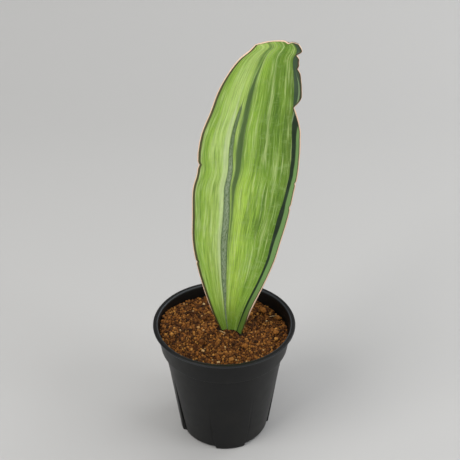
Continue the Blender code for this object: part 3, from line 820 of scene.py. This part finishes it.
        points += [
            (wall_top + 0.4 * MM, self.height, 0.0, 0.0),
            (wall_top - 0.3 * MM, self.height - 0.25 * MM, 0.0, 0.0),
            (inner + 0.35 * MM, self.height - 0.9 * MM, 0.0, 0.0),
            (inner, under, 0.0, 0.0),
            (self.inner_radius(self.height - 8.0 * MM), self.height - 8.0 * MM, 0.0, 0.0),
            (self.inner_radius(ledge + 2.0 * self.wall), ledge + 2.0 * self.wall, 0.0, 0.0),
            (self.body_top_radius - self.wall + 0.6 * MM, ledge, 0.0, 0.0),
            (self.inner_radius(ledge - 2.0 * MM), ledge - 2.0 * MM, 0.0, 0.0),
            (self.inner_radius(self.slit_height), self.slit_height, 0.0, 0.0),
            (self.inner_radius(floor + 1.5 * MM), floor + 1.5 * MM, 0.0, 0.0),
            (self.inner_radius(floor) - 1.5 * MM, floor, 0.0, 0.0),
            (foot_inner * 0.7, floor + self.floor_crown * 0.5, 0.0, 0.0),
            (self.hub_radius, floor + self.floor_crown, 0.0, 0.0),
        ]
        return points

    def slit_cutter(self, name: str, azimuth: float, side: int) -> bpy.types.Object:
        """A cutter for one slit, which widens downwards beside its foot panel.

        Args:
            name: the cutter's name.
            azimuth: where the foot panel's edge stands.
            side: 1 or -1, the side of the edge that the panel lies on.

        Returns:
            The cutter.
        """
        out, across = direction(azimuth), direction(azimuth - 90.0) * side
        near, below = -0.5 * self.slit_width, -2.0 * MM
        outline = [(near, below), (near + self.slit_flare, below)]
        steps = 8
        for k in range(1, steps + 1):
            t = k / steps
            wide = self.slit_flare + (self.slit_width - self.slit_flare) * t ** 1.3
            outline.append((near + wide, self.slit_height * t))
        outline.append((near, self.slit_height))
        rings = []
        for reach in (self.body_foot_radius - self.foot_width - self.slit_reach, self.rim_radius):
            rings.append([out * reach + across * x + Vector((0.0, 0.0, z)) for x, z in outline])
        return loft(name, rings, None)

    def build(self) -> bpy.types.Object:
        """The pot in its finish, on the frame."""
        columns = self.columns()
        rings = []
        for radius, height, proud, lift in self.profile():
            ring = []
            for azimuth, offset, span in columns:
                foot = self.proud_share(offset, span, height)
                out = direction(azimuth) * (radius + proud * foot * self.panel_proud)
                ring.append(out + Vector((0.0, 0.0, height + lift * (1.0 - foot) * self.panel_lift)))
            rings.append(ring)
        pot = loft("nursery_pot", rings, self.plastic, sharp_angle=50.0)
        cutters = []
        for k, (azimuth, side, foot) in enumerate(self.foot_edges()):
            if foot not in self.slit_feet:
                continue
            cutters.append(self.slit_cutter(f"slit_cutter_{k + 1}", azimuth, side))
            cut = pot.modifiers.new(f"slit_{k + 1}", 'BOOLEAN')
            cut.operation, cut.solver, cut.object = 'DIFFERENCE', 'MANIFOLD', cutters[-1]
        baked(pot)
        for cutter in cutters:
            bpy.data.objects.remove(cutter, do_unlink=True)
        pot.data.materials.clear()
        pot.data.materials.append(self.plastic)
        pot.data.shade_smooth()
        pot.data.set_sharp_from_angle(angle=math.radians(35.0))
        # Per-vertex shares of painted shade in the creases and painted highlight on the lip's edges.
        store(pot.data, "crease", [self.crease(vertex.co) for vertex in pot.data.vertices])
        store(pot.data, "rub", [self.rub(vertex.co) for vertex in pot.data.vertices])
        return settle(pot, "black_plastic", "pot")


# ------------------------------------------------------------------ leaf

@dataclass
class Leaf:
    """The single broad leaf, a shallow channel whose right wing turns forward."""

    soil_line: float
    skin: bpy.types.Material | None = None
    root_depth: float = 15.0 * MM
    top: float = 258.0 * MM
    depth_offset: float = 3.0 * MM
    thickness: float = 2.6 * MM
    foot_thickness: float = 4.6 * MM
    margin_thickness: float = 1.3 * MM
    fold_start: float = 0.62
    fold_foot: float = 7.5 * MM
    fold_top: float = 3.0 * MM
    cup_left: float = 2.6 * MM
    bow: float = 5.0 * MM
    tip_dip: float = 1.5 * MM
    tip_clip: float = 5.5 * MM
    rows: int = 420
    columns: int = 84
    stations: tuple = (
        (-15.0, 1.5, -15.0, 10.5, 0.0),
        (-6.0, -0.5, -6.8, 12.5, 0.0),
        (1.0, -3.2, 0.0, 14.2, 0.0),
        (11.0, -7.2, 11.0, 17.6, 0.0),
        (27.0, -12.6, 27.0, 23.2, 0.0),
        (50.0, -18.8, 50.0, 32.6, 0.0),
        (73.0, -23.5, 73.0, 40.8, 0.0),
        (92.0, -25.6, 92.0, 45.6, 0.0),
        (114.0, -25.2, 114.0, 50.8, 0.0),
        (137.0, -24.4, 137.0, 54.6, 0.0),
        (153.0, -20.6, 153.0, 57.2, 0.3),
        (171.0, -19.6, 171.0, 58.2, 0.8),
        (187.0, -16.4, 187.0, 58.0, 1.6),
        (204.0, -9.8, 204.0, 57.8, 2.6),
        (220.0, -4.2, 221.0, 57.8, 3.4),
        (234.0, 3.2, 234.0, 56.4, 3.8),
        (245.0, 11.2, 243.5, 55.0, 3.6),
        (251.5, 18.6, 251.0, 57.0, 2.7),
        (256.0, 22.8, 256.4, 54.4, 2.0),
    )
    nicks: tuple = (
        (-1, 159.5, 1.2, 4.0, 3.5),
        (-1, 70.5, 0.9, 2.5, 2.0),
        (1, 208.0, 5.4, 21.0, 8.5),
        (1, 238.0, 1.6, 5.0, 3.0),
        (1, 248.2, 3.4, 3.6, 3.0),
        (1, 145.0, 0.8, 2.5, 2.0),
        (1, 124.0, 0.9, 3.0, 2.5),
    )

    def nick(self, side: int, height: float) -> float:
        """How far the margin is set in at this height above the soil line."""
        depth = 0.0
        for nick_side, centre, deep, below, above in self.nicks:
            if nick_side == side:
                reach = (above if height > centre * MM else below) * MM
                depth += deep * MM * max(0.0, 1.0 - abs(height - centre * MM) / reach) ** 1.6
        return depth

    def row(self, along: float) -> tuple[float, float, float, float, float]:
        """Left height, left x, right height, right x and crown of a row, before its nicks."""
        return tuple(spline([station[k] for station in self.stations], along) * MM for k in range(5))

    def point(self, across: float, along: float) -> Vector:
        """Middle surface: across runs from the left margin, along from the foot to the tip."""
        left_z, left_x, right_z, right_x, crown = self.row(along)
        left_x += self.nick(-1, left_z)
        right_x -= self.nick(1, right_z)
        x = left_x + (right_x - left_x) * across
        z = left_z + (right_z - left_z) * across + crown * 4.0 * across * (1.0 - across)
        fold = self.fold_foot + (self.fold_top - self.fold_foot) * smooth_step(0.0, 1.0, along)
        turn = max(0.0, (across - self.fold_start) / (1.0 - self.fold_start))
        forward = fold * turn ** 2 + self.cup_left * smooth_step(0.0, 1.0, along) * (1.0 - across) ** 3
        back = self.depth_offset + self.bow * max(0.0, along - 0.35) ** 2
        z -= self.tip_dip * math.exp(-((across - 0.76) / 0.06) ** 2) * smooth_step(0.965, 1.0, along)
        wave = noise.noise(Vector((across * 3.0, along * 9.0, 2.0))) * 0.7 * MM
        wave *= smooth_step(0.15, 0.4, along)
        return Vector((x, back - forward + wave, self.soil_line + z))

    def half_thickness(self, across: float, along: float, edge: float) -> float:
        """Half the leaf's thickness, rounded off at the margin and beaded along it."""
        middle = self.foot_thickness + (self.thickness - self.foot_thickness) * smooth_step(0.0, 0.35, along)
        body = 1.0 - (2.0 * across - 1.0) ** 4
        half = 0.5 * (self.margin_thickness + (middle - self.margin_thickness) * body)
        half -= 0.12 * MM * math.exp(-((edge - 1.6 * MM) / (0.6 * MM)) ** 2)
        bead = 0.5 * self.margin_thickness
        if edge < bead:
            half *= math.sqrt(max(0.0, 1.0 - (1.0 - edge / bead) ** 2))
        return max(half, 0.02 * MM)

    def shares(self) -> list[float]:
        """Places across the leaf, closer together at the margins."""
        places = []
        for i in range(self.columns + 1):
            t = 2.0 * i / self.columns - 1.0
            places.append(0.5 + 0.5 * (0.25 * t + 0.75 * math.sin(0.5 * math.pi * t)))
        return places

    def build(self) -> bpy.types.Object:
        """The leaf in its finish, on the frame."""
        places = self.shares()
        side_step, up_step = 0.01, 0.004
        mesh = bmesh.new()
        uv = mesh.loops.layers.uv.new("leaf_place")
        marks: list[tuple[float, float, float, float]] = []
        loops = []
        for j in range(self.rows + 1):
            along = j / self.rows
            left_z, left_x, right_z, right_x, _ = self.row(along)
            start, end = self.point(0.0, along), self.point(1.0, along)
            clipped = self.tip_clip * smooth_step(0.945, 1.0, along)
            front, rear = [], []
            for across in places:
                point = self.point(across, along)
                slope = self.point(min(across + side_step, 1.0), along)
                slope -= self.point(max(across - side_step, 0.0), along)
                rise = self.point(across, min(along + up_step, 1.0))
                rise -= self.point(across, max(along - up_step, 0.0))
                normal = slope.cross(rise).normalized()
                edge = min(abs(point.x - start.x), abs(end.x - point.x))
                edge = min(edge, (1.0 - along) * 0.9 * self.top)
                half = self.half_thickness(across, along, edge)
                u = (point.x - left_x + clipped) / (right_x - left_x + clipped)
                v = (point.z - self.soil_line + self.root_depth) / (self.top + self.root_depth)
                front.append((point + normal * half, u, v, edge / MM, 0.0))
                rear.append((point - normal * half, u, v, edge / MM, 1.0))
            ring = front + rear[::-1]
            loops.append([mesh.verts.new(entry[0]) for entry in ring])
            marks += [entry[1:] for entry in ring]
        self.skin_faces(mesh, loops)
        mesh.verts.index_update()
        for face in mesh.faces:
            for corner in face.loops:
                corner[uv].uv = marks[corner.vert.index][:2]
        data = finished(mesh, "variegated_leaf")
        store(data, "edge_mm", [mark[2] for mark in marks])
        store(data, "back", [mark[3] for mark in marks])
        leaf = new_object("variegated_leaf", data, self.skin)
        return settle(leaf, "leaf_green", "leaf")

    def skin_faces(self, mesh: bmesh.types.BMesh, loops: list) -> None:
        """Joins the rows, and closes the foot and the tip with a row of quads each."""
        join_rows(mesh, loops)
        count = len(loops[0])
        half = count // 2
        for ring, turned in ((loops[0], True), (loops[-1], False)):
            for i in range(half - 1):
                quad = (ring[i], ring[i + 1], ring[count - 2 - i], ring[count - 1 - i])
                mesh.faces.new(quad[::-1] if turned else quad)
        bmesh.ops.recalc_face_normals(mesh, faces=mesh.faces)


# ------------------------------------------------------------------ soil

class GrainForm(Enum):
    """How a granule's solid starts."""

    BLOCK = "block"
    CHIP = "chip"


@dataclass(frozen=True)
class GranuleLayer:
    """One layer of loose granules."""

    name: str
    form: GrainForm
    spacing: float
    smallest: float
    largest: float
    rise: float
    scatter: float
    seed: int


class GranuleTree:
    """Geometry nodes that strew granules over a surface and make them one mesh."""

    INPUTS = (
        ("Spacing", 'NodeSocketFloat'), ("Smallest", 'NodeSocketFloat'), ("Largest", 'NodeSocketFloat'),
        ("Rise", 'NodeSocketFloat'), ("Scatter", 'NodeSocketFloat'), ("Seed", 'NodeSocketInt'),
    )
    VARIANTS = 6

    def __init__(self, form: GrainForm, material: bpy.types.Material) -> None:
        """Makes the tree for one grain form.

        Args:
            form: how a grain starts.
            material: the grains' finish.
        """
        self.form = form
        self.tree = bpy.data.node_groups.new(f"granules_{form.value}", 'GeometryNodeTree')
        face = self.tree.interface
        face.new_socket(name="Geometry", in_out='INPUT', socket_type='NodeSocketGeometry')
        self.keys = {
            name: face.new_socket(name=name, in_out='INPUT', socket_type=kind).identifier
            for name, kind in self.INPUTS
        }
        face.new_socket(name="Geometry", in_out='OUTPUT', socket_type='NodeSocketGeometry')
        self.strew(material)

    def add(self, kind: str, inputs: dict[Any, Any] | None = None, **settings: Any) -> Any:
        """Adds a node, sets its properties, and links or sets its inputs."""
        node = self.tree.nodes.new(kind)
        for key, value in settings.items():
            setattr(node, key, value)
        for key, value in (inputs or {}).items():
            if isinstance(value, bpy.types.NodeSocket):
                self.tree.links.new(value, node.inputs[key])
            else:
                node.inputs[key].default_value = value
        return node

    def draw(self, low: float, high: float, seed: Any) -> Any:
        """A random number for each point."""
        node = self.add('FunctionNodeRandomValue', data_type='FLOAT')
        floats = [socket for socket in node.inputs if socket.enabled and socket.name in ('Min', 'Max')]
        floats[0].default_value, floats[1].default_value = low, high
        self.put_seed(node, seed)
        return next(socket for socket in node.outputs if socket.enabled)

    def put_seed(self, node: Any, seed: Any) -> None:
        """Sets a random node's seed from a number or a socket."""
        socket = next(socket for socket in node.inputs if socket.name == 'Seed')
        if isinstance(seed, bpy.types.NodeSocket):
            self.tree.links.new(seed, socket)
        else:
            socket.default_value = seed

    def math(self, operation: str, a: Any, b: Any = 0.0) -> Any:
        """A Math node's result."""
        return self.add('ShaderNodeMath', {0: a, 1: b}, operation=operation).outputs[0]

    def grain(self, variant: int) -> Any:
        """One grain of unit width, roughened in its own way, as an instance."""
        if self.form is GrainForm.BLOCK:
            solid = self.add('GeometryNodeMeshCube', {
                'Size': (1.0, 1.0, 1.0), 'Vertices X': 3, 'Vertices Y': 3, 'Vertices Z': 3}).outputs[0]
        else:
            solid = self.add('GeometryNodeMeshIcoSphere', {'Radius': 0.5, 'Subdivisions': 1}).outputs[0]
        place = self.add('GeometryNodeInputPosition').outputs[0]
        unit = self.add('ShaderNodeVectorMath', {0: place}, operation='NORMALIZE').outputs[0]
        own = (7.3 * variant, 3.1, 1.9)
        moved = self.add('ShaderNodeVectorMath', {0: unit, 1: own}, operation='ADD').outputs[0]
        rough = self.add('ShaderNodeTexNoise', {'Vector': moved, 'Scale': 1.7, 'Detail': 1.0}).outputs[0]
        radius = self.math('MULTIPLY_ADD', rough, 0.62)
        radius.node.inputs[2].default_value = 0.20
        ball = self.add('ShaderNodeVectorMath', {0: unit}, operation='SCALE')
        self.tree.links.new(radius, ball.inputs['Scale'])
        boxy = self.add('ShaderNodeVectorMath', {0: place}, operation='SCALE')
        boxy.inputs['Scale'].default_value = 0.28
        shape = self.add('ShaderNodeVectorMath', {0: ball.outputs[0], 1: boxy.outputs[0]}, operation='ADD')
        solid = self.add('GeometryNodeSetPosition', {
            'Geometry': solid, 'Position': shape.outputs[0]}).outputs[0]
        return self.add('GeometryNodeGeometryToInstance', {0: solid}).outputs[0]

    def strew(self, material: bpy.types.Material) -> None:
        """Points, grains, their tones, and the single mesh at the end."""
        given = self.add('NodeGroupInput').outputs
        seed = given['Seed']
        points = self.add('GeometryNodeDistributePointsOnFaces', {
            'Mesh': given['Geometry'], 'Distance Min': given['Spacing'], 'Density Max': 4.0e6, 'Seed': seed,
        }, distribute_method='POISSON')
        factor = self.add('GeometryNodeInputNamedAttribute', {'Name': "open"}, data_type='FLOAT')
        self.tree.links.new(factor.outputs[0], points.inputs['Density Factor'])
        scatter = self.math('MULTIPLY', given['Scatter'], self.draw(-1.0, 1.0, 11))
        lift = self.math('ADD', given['Rise'], scatter)
        shift = self.add('ShaderNodeVectorMath', {0: points.outputs['Normal']}, operation='SCALE')
        self.tree.links.new(lift, shift.inputs['Scale'])
        placed = self.add('GeometryNodeSetPosition', {
            'Geometry': points.outputs['Points'], 'Offset': shift.outputs[0]}).outputs[0]
        grains = self.add('GeometryNodeJoinGeometry')
        for variant in range(self.VARIANTS):
            self.tree.links.new(self.grain(variant), grains.inputs[0])
        pick = self.add('FunctionNodeRandomValue', data_type='INT')
        whole = [socket for socket in pick.inputs if socket.enabled and socket.name in ('Min', 'Max')]
        whole[0].default_value, whole[1].default_value = 0, self.VARIANTS - 1
        self.put_seed(pick, seed)
        index = next(socket for socket in pick.outputs if socket.enabled)
        turn = self.add('ShaderNodeCombineXYZ', {
            axis: self.draw(0.0, math.tau, 21 + axis) for axis in range(3)})
        euler = self.add('FunctionNodeEulerToRotation', {0: turn.outputs[0]}).outputs[0]
        spread = self.math('SUBTRACT', given['Largest'], given['Smallest'])
        skew = self.math('POWER', self.draw(0.0, 1.0, 31), 1.6)
        size = self.math('ADD', given['Smallest'], self.math('MULTIPLY', spread, skew))
        flat = self.add('ShaderNodeCombineXYZ', {
            0: size, 1: self.math('MULTIPLY', size, self.draw(0.75, 1.0, 32)),
            2: self.math('MULTIPLY', size, self.draw(0.65, 0.95, 33))})
        strewn = self.add('GeometryNodeInstanceOnPoints', {
            'Points': placed, 'Instance': grains.outputs[0], 'Pick Instance': True, 'Instance Index': index,
            'Rotation': euler, 'Scale': flat.outputs[0]}).outputs[0]
        toned = self.add('GeometryNodeStoreNamedAttribute', {
            'Geometry': strewn, 'Name': "tone"}, data_type='FLOAT', domain='INSTANCE')
        value = next(socket for socket in toned.inputs if socket.enabled and socket.name == 'Value')
        self.tree.links.new(self.draw(0.0, 1.0, 41), value)
        whole_mesh = self.add('GeometryNodeRealizeInstances', {0: toned.outputs[0]}).outputs[0]
        smooth = self.add('GeometryNodeSetShadeSmooth', {0: whole_mesh}).outputs[0]
        dressed = self.add('GeometryNodeSetMaterial', {'Geometry': smooth, 'Material': material}).outputs[0]
        self.add('NodeGroupOutput', {0: dressed})

    def run(self, surface: bpy.types.Mesh, layer: GranuleLayer) -> bpy.types.Object:
        """Strews one layer over a surface.

        Args:
            surface: where the grains lie; its attribute open is 0 where none may.
            layer: the layer's sizes.

        Returns:
            The granules as one plain mesh.
        """
        piece = new_object(layer.name, surface.copy(), None)
        modifier = piece.modifiers.new("granules", 'NODES')
        modifier.node_group = self.tree
        sizes = (layer.spacing, layer.smallest, layer.largest, layer.rise, layer.scatter, layer.seed)
        for (name, _), value in zip(self.INPUTS, sizes):
            modifier[self.keys[name]] = value
        return baked(piece)


@dataclass
class Soil:
    """The fill: a dark bed that follows the pot's inside, with loose granules on it."""

    pot: Pot
    leaf: Leaf
    bed_finish: bpy.types.Material
    clay: bpy.types.Material
    gap: float = 0.5 * MM
    sink: float = 1.3 * MM
    rings: int = 46
    columns: int = 144
    swells: tuple = ((1.3, 1, 75.0), (1.5, 2, -10.0), (1.0, 3, 110.0))
    heaps: tuple = ((10.2, -100.0, 44.0), (4.2, 82.0, 28.0), (-2.6, 140.0, 26.0))
    plateau: float = 2.2 * MM
    foot_clearance: float = 3.4 * MM
    layers: tuple = (
        GranuleLayer("granules_coarse", GrainForm.BLOCK, spacing=1.65 * MM, smallest=1.4 * MM,
                     largest=2.6 * MM, rise=0.5 * MM, scatter=0.6 * MM, seed=5),
        GranuleLayer("granules_fine", GrainForm.CHIP, spacing=1.1 * MM, smallest=0.9 * MM,
                     largest=1.6 * MM, rise=0.1 * MM, scatter=0.4 * MM, seed=9),
    )

    def heap(self, azimuth: float) -> float:
        """Rise of the surface at the wall above the soil line, at an azimuth in degrees."""
        rise = sum(tall * math.cos(math.radians(waves * azimuth - turn)) for tall, waves, turn in self.swells)
        for tall, middle, width in self.heaps:
            away = (azimuth - middle + 180.0) % 360.0 - 180.0
            rise += tall * math.exp(-((away / width) ** 2))
        return rise * MM

    def height(self, x: float, y: float) -> float:
        """Height of the bed's surface at a point."""
        reach = min(math.hypot(x, y) / self.pot.rim_radius, 1.0)
        swell = self.heap(math.degrees(math.atan2(x, -y))) * reach ** 2
        swell += self.plateau * smooth_step(0.6, 0.15, reach)
        broad = noise.noise(Vector((x, y, 0.0)) * 90.0) * 0.9 * MM
        lumps = broad + noise.noise(Vector((x, y, 0.01)) * 240.0) * 0.4 * MM
        return self.leaf.soil_line - self.sink + swell + lumps

    def open_share(self, x: float, y: float) -> float:
        """0 where the leaf's foot stands, else 1."""
        nearest = 1.0
        for k in range(11):
            foot = self.leaf.point(k / 10.0, 0.115)
            nearest = min(nearest, math.hypot(x - foot.x, y - foot.y))
        return 0.0 if nearest < self.foot_clearance else 1.0

    def edge_radius(self, azimuth: float) -> float:
        """Radius of the bed's top at the wall, at an azimuth in degrees."""
        return self.pot.inner_radius(self.leaf.soil_line + self.heap(azimuth)) - self.gap

    def top_surface(self) -> bpy.types.Mesh:
        """The open surface that the granules lie on."""
        mesh = bmesh.new()
        loops = []
        for k in range(self.rings + 1):
            ring = []
            for i in range(self.columns):
                azimuth = 360.0 * i / self.columns
                reach = (self.edge_radius(azimuth) - 0.7 * MM) * k / self.rings + 0.02 * MM
                flat = direction(azimuth) * reach
                ring.append(mesh.verts.new((flat.x, flat.y, self.height(flat.x, flat.y))))
            loops.append(ring)
        for inner, outer in zip(loops, loops[1:]):
            for i in range(self.columns):
                j = (i + 1) % self.columns
                mesh.faces.new((inner[i], outer[i], outer[j], inner[j]))
        mesh.normal_update()
        data = finished(mesh, "granule_ground", smooth=False)
        store(data, "open", [self.open_share(v.co.x, v.co.y) for v in data.vertices])
        return data

    def build_bed(self) -> bpy.types.Object:
        """The bed as one closed body."""
        azimuths = [360.0 * i / self.columns for i in range(self.columns)]
        pot = self.pot
        floor = pot.floor_rise + pot.wall + pot.floor_crown + self.gap
        ledge = pot.height - pot.collar_height
        rings = [[direction(a) * 6.0 * MM + Vector((0.0, 0.0, floor)) for a in azimuths]]
        walls = [
            (floor, 4.0 * MM), (floor + 3.0 * MM, 2.0 * MM), (24.0 * MM, 2.0 * MM),
            (pot.slit_height, 1.5 * MM), (ledge - 2.2 * MM, self.gap + 0.3 * MM),
            (ledge + 3.0 * pot.wall, self.gap)]
        for z, inset in walls:
            radius = pot.inner_radius(z) - inset
            rings.append([direction(a) * radius + Vector((0.0, 0.0, z)) for a in azimuths])
        for k in range(self.rings, 0, -1):
            ring = []
            for a in azimuths:
                flat = direction(a) * (self.edge_radius(a) * k / self.rings)
                ring.append(flat + Vector((0.0, 0.0, self.height(flat.x, flat.y))))
            rings.append(ring)
        bed = loft("soil_bed", rings, self.bed_finish, sharp_angle=70.0)
        return settle(bed, "clay_granules", "soil")

    def build(self) -> None:
        """The bed and its granules, on the frame."""
        self.build_bed()
        surface = self.top_surface()
        for layer in self.layers:
            granules = GranuleTree(layer.form, self.clay).run(surface, layer)
            settle(granules, "clay_granules", "soil")


# ------------------------------------------------------------------ loose things on the soil

@dataclass
class LooseThings:
    """Larger grains, the straw and the sheath splinter that lie on the granules."""

    clay: bpy.types.Material
    soil: Soil
    first_pale: int = 9
    tones: tuple = (0.84, 0.86, 0.80, 0.84, 0.90, 0.50, 0.48, 0.975, 0.98, 0.99, 0.995)

    def rise(self, place: Vector) -> Vector:
        """How far the granules lift what lies at a place."""
        level = self.soil.leaf.soil_line - self.soil.sink
        return Vector((0.0, 0.0, self.soil.height(place.x, place.y) - level))

    def grain(self, name: str, tone: float, seed: int) -> bpy.types.Object:
        """A weathered grain of its CAD node's size, on the granules.

        Args:
            name: the CAD node's name.
            tone: its place on the clay's range of colours.
            seed: which rough shape it gets.

        Returns:
            The piece.
        """
        low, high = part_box(name)
        middle, size = (low + high) * 0.5, high - low
        middle += self.rise(middle)
        mesh = bmesh.new()
        bmesh.ops.create_icosphere(mesh, subdivisions=4, radius=0.5)
        for vert in mesh.verts:
            spot = vert.co * 2.6 + Vector((seed * 4.7, seed * 1.3, 0.0))
            rough = 0.16 * noise.noise(spot) + 0.05 * noise.noise(spot * 3.1) + 0.02 * noise.noise(spot * 9.0)
            vert.co *= 1.0 + 2.0 * rough
            vert.co = middle + Vector(a * b * 0.98 for a, b in zip(vert.co, size))
        data = finished(mesh, f"loose_{name}")
        store(data, "tone", [tone] * len(data.vertices))
        piece = new_object(f"loose_{name}", data, self.clay)
        return settle(piece, "pale_grit" if seed >= self.first_pale else "clay_granules", name)

    def fibre(self, name: str, node: str, lift: float, width: float,
              finish: bpy.types.Material) -> bpy.types.Object:
        """A split, slightly twisted fibre along the longest way of its CAD node's box.

        Args:
            name: the piece's name.
            node: the CAD node it stands for.
            lift: height of its middle over its ends.
            width: its width at the middle.
            finish: its material.

        Returns:
            The piece.
        """
        low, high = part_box(node)
        middle = (low + high) * 0.5
        half = (high - low) * 0.5
        slope = -1.0 if node == "sheath_splinter" else 0.0
        start = Vector((low.x, middle.y - slope * half.y, middle.z - 0.5 * lift))
        end = Vector((high.x, middle.y + slope * half.y, middle.z - 0.5 * lift))
        start += self.rise(start)
        end += self.rise(end)
        rings = []
        steps, sides = 36, 14
        for k in range(steps + 1):
            t = k / steps
            centre = start.lerp(end, t) + Vector((0.0, 0.0, lift * 4.0 * t * (1.0 - t)))
            axis = (end - start).normalized()
            side = axis.cross(Vector((0.0, 0.0, 1.0))).normalized()
            up = side.cross(axis)
            taper = math.sqrt(max(0.02, 1.0 - abs(2.0 * t - 1.0) ** 2.5))
            twist = 1.4 * t
            ring = []
            for i in range(sides):
                turn = math.tau * i / sides
                groove = 1.0 - 0.25 * math.exp(-((turn - 1.6) / 0.5) ** 2)
                wide = 0.5 * width * taper * groove * math.cos(turn)
                tall = 0.3 * width * taper * groove * math.sin(turn)
                ring.append(centre + side * (wide * math.cos(twist) - tall * math.sin(twist))
                            + up * (wide * math.sin(twist) + tall * math.cos(twist)))
            rings.append(ring)
        return settle(loft(name, rings, finish, sharp_angle=80.0), "dry_fibre", node)

    def build(self) -> None:
        """All of them, on the frame."""
        for k, tone in enumerate(self.tones):
            self.grain(f"grain_{k + 1}", tone, k)
        straw = DryFibre("straw_fibre").material()
        sheath = DryFibre("sheath_fibre", light=srgb(206, 178, 128)).material()
        self.fibre("straw", "dry_straw", 0.5 * MM, 0.9 * MM, straw)
        self.fibre("splinter", "sheath_splinter", 0.4 * MM, 1.2 * MM, sheath)


# ------------------------------------------------------------------ stage

@dataclass
class Stage:
    """Pale sweep of paper, soft studio light and the camera."""

    camera_place: tuple[float, float, float] = (0.0049, -0.6771, 0.6174)
    camera_pitch: float = 31.68
    focal_length: float = 78.26
    paper: Colour = srgb(190, 189, 187)

    def sweep(self) -> None:
        """Floor that curves up into a backdrop, marked as stage."""
        mesh = bmesh.new()
        rows = []
        profile = [(-3.0, 0.0), (0.6, 0.0)]
        for k in range(1, 17):
            turn = 0.5 * math.pi * k / 16
            profile.append((0.6 + 0.9 * math.sin(turn), 0.9 * (1.0 - math.cos(turn))))
        profile.append((1.5, 3.5))
        for y, z in profile:
            rows.append([mesh.verts.new((x, y, z)) for x in (-3.0, 3.0)])
        for lower, upper in zip(rows, rows[1:]):
            mesh.faces.new((lower[0], lower[1], upper[1], upper[0]))
        paper = Shade("paper").finish(Base_Color=self.paper, Roughness=0.7)
        new_object("paper_sweep", finished(mesh, "paper_sweep"), paper)

    def light(self, name: str, place: tuple, target: tuple, size: float, power: float,
              colour: Colour) -> None:
        """One soft square light aimed at a point."""
        data = bpy.data.lights.new(name, 'AREA')
        data.shape, data.size, data.energy, data.color = 'SQUARE', size, power, colour
        lamp = bpy.data.objects.new(name, data)
        lamp.location = place
        lamp.rotation_euler = (Vector(target) - Vector(place)).to_track_quat('-Z', 'Y').to_euler()
        bpy.context.scene.collection.objects.link(lamp)

    def build(self) -> None:
        """Floor, lights, world and camera."""
        self.sweep()
        aim = (0.0, 0.0, 0.15)
        self.light("softbox_left", (-1.3, -0.9, 1.5), aim, 1.3, 26.0, (1.0, 0.99, 0.97))
        self.light("softbox_right", (1.5, -0.6, 1.2), aim, 1.0, 12.0, (0.97, 0.98, 1.0))
        self.light("overhead", (0.1, 0.1, 1.9), aim, 1.6, 9.0, (1.0, 1.0, 1.0))
        self.light("strip_right", (1.3, 0.7, 0.9), (0.0, 0.0, 0.1), 0.8, 7.0, (0.96, 0.98, 1.0))
        world = bpy.data.worlds.new("studio")
        world.use_nodes = True
        world.node_tree.nodes["Background"].inputs[0].default_value = (0.82, 0.84, 0.87, 1.0)
        world.node_tree.nodes["Background"].inputs[1].default_value = 0.42
        bpy.context.scene.world = world
        data = bpy.data.cameras.new("camera")
        data.lens, data.sensor_width = self.focal_length, 36.0
        camera = bpy.data.objects.new("camera", data)
        camera.location = self.camera_place
        camera.rotation_euler = (math.radians(90.0 - self.camera_pitch), 0.0, 0.0)
        bpy.context.scene.collection.objects.link(camera)
        bpy.context.scene.camera = camera
        bpy.context.scene.view_settings.view_transform = 'Standard'


def main() -> None:
    """Builds the stage and every piece, in order."""
    logging.basicConfig(level=logging.INFO, format="%(message)s")
    Stage().build()
    low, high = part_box("pot")
    pot = Pot(PotPlastic().material(), height=high.z, rim_radius=0.25 * (high.x - low.x + high.y - low.y))
    pot.build()
    leaf = Leaf(soil_line=high.z - pot.soil_depth)
    leaf.skin = LeafSkin(leaf.top + leaf.root_depth, leaf.root_depth).material()
    leaf.build()
    clay = GranuleClay().material()
    soil = Soil(pot, leaf, SoilBed().material(), clay)
    soil.build()
    LooseThings(clay, soil).build()
    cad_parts["rhizome"].material_slots[0].material = RhizomeSkin().material()


if __name__ == "__main__":
    main()
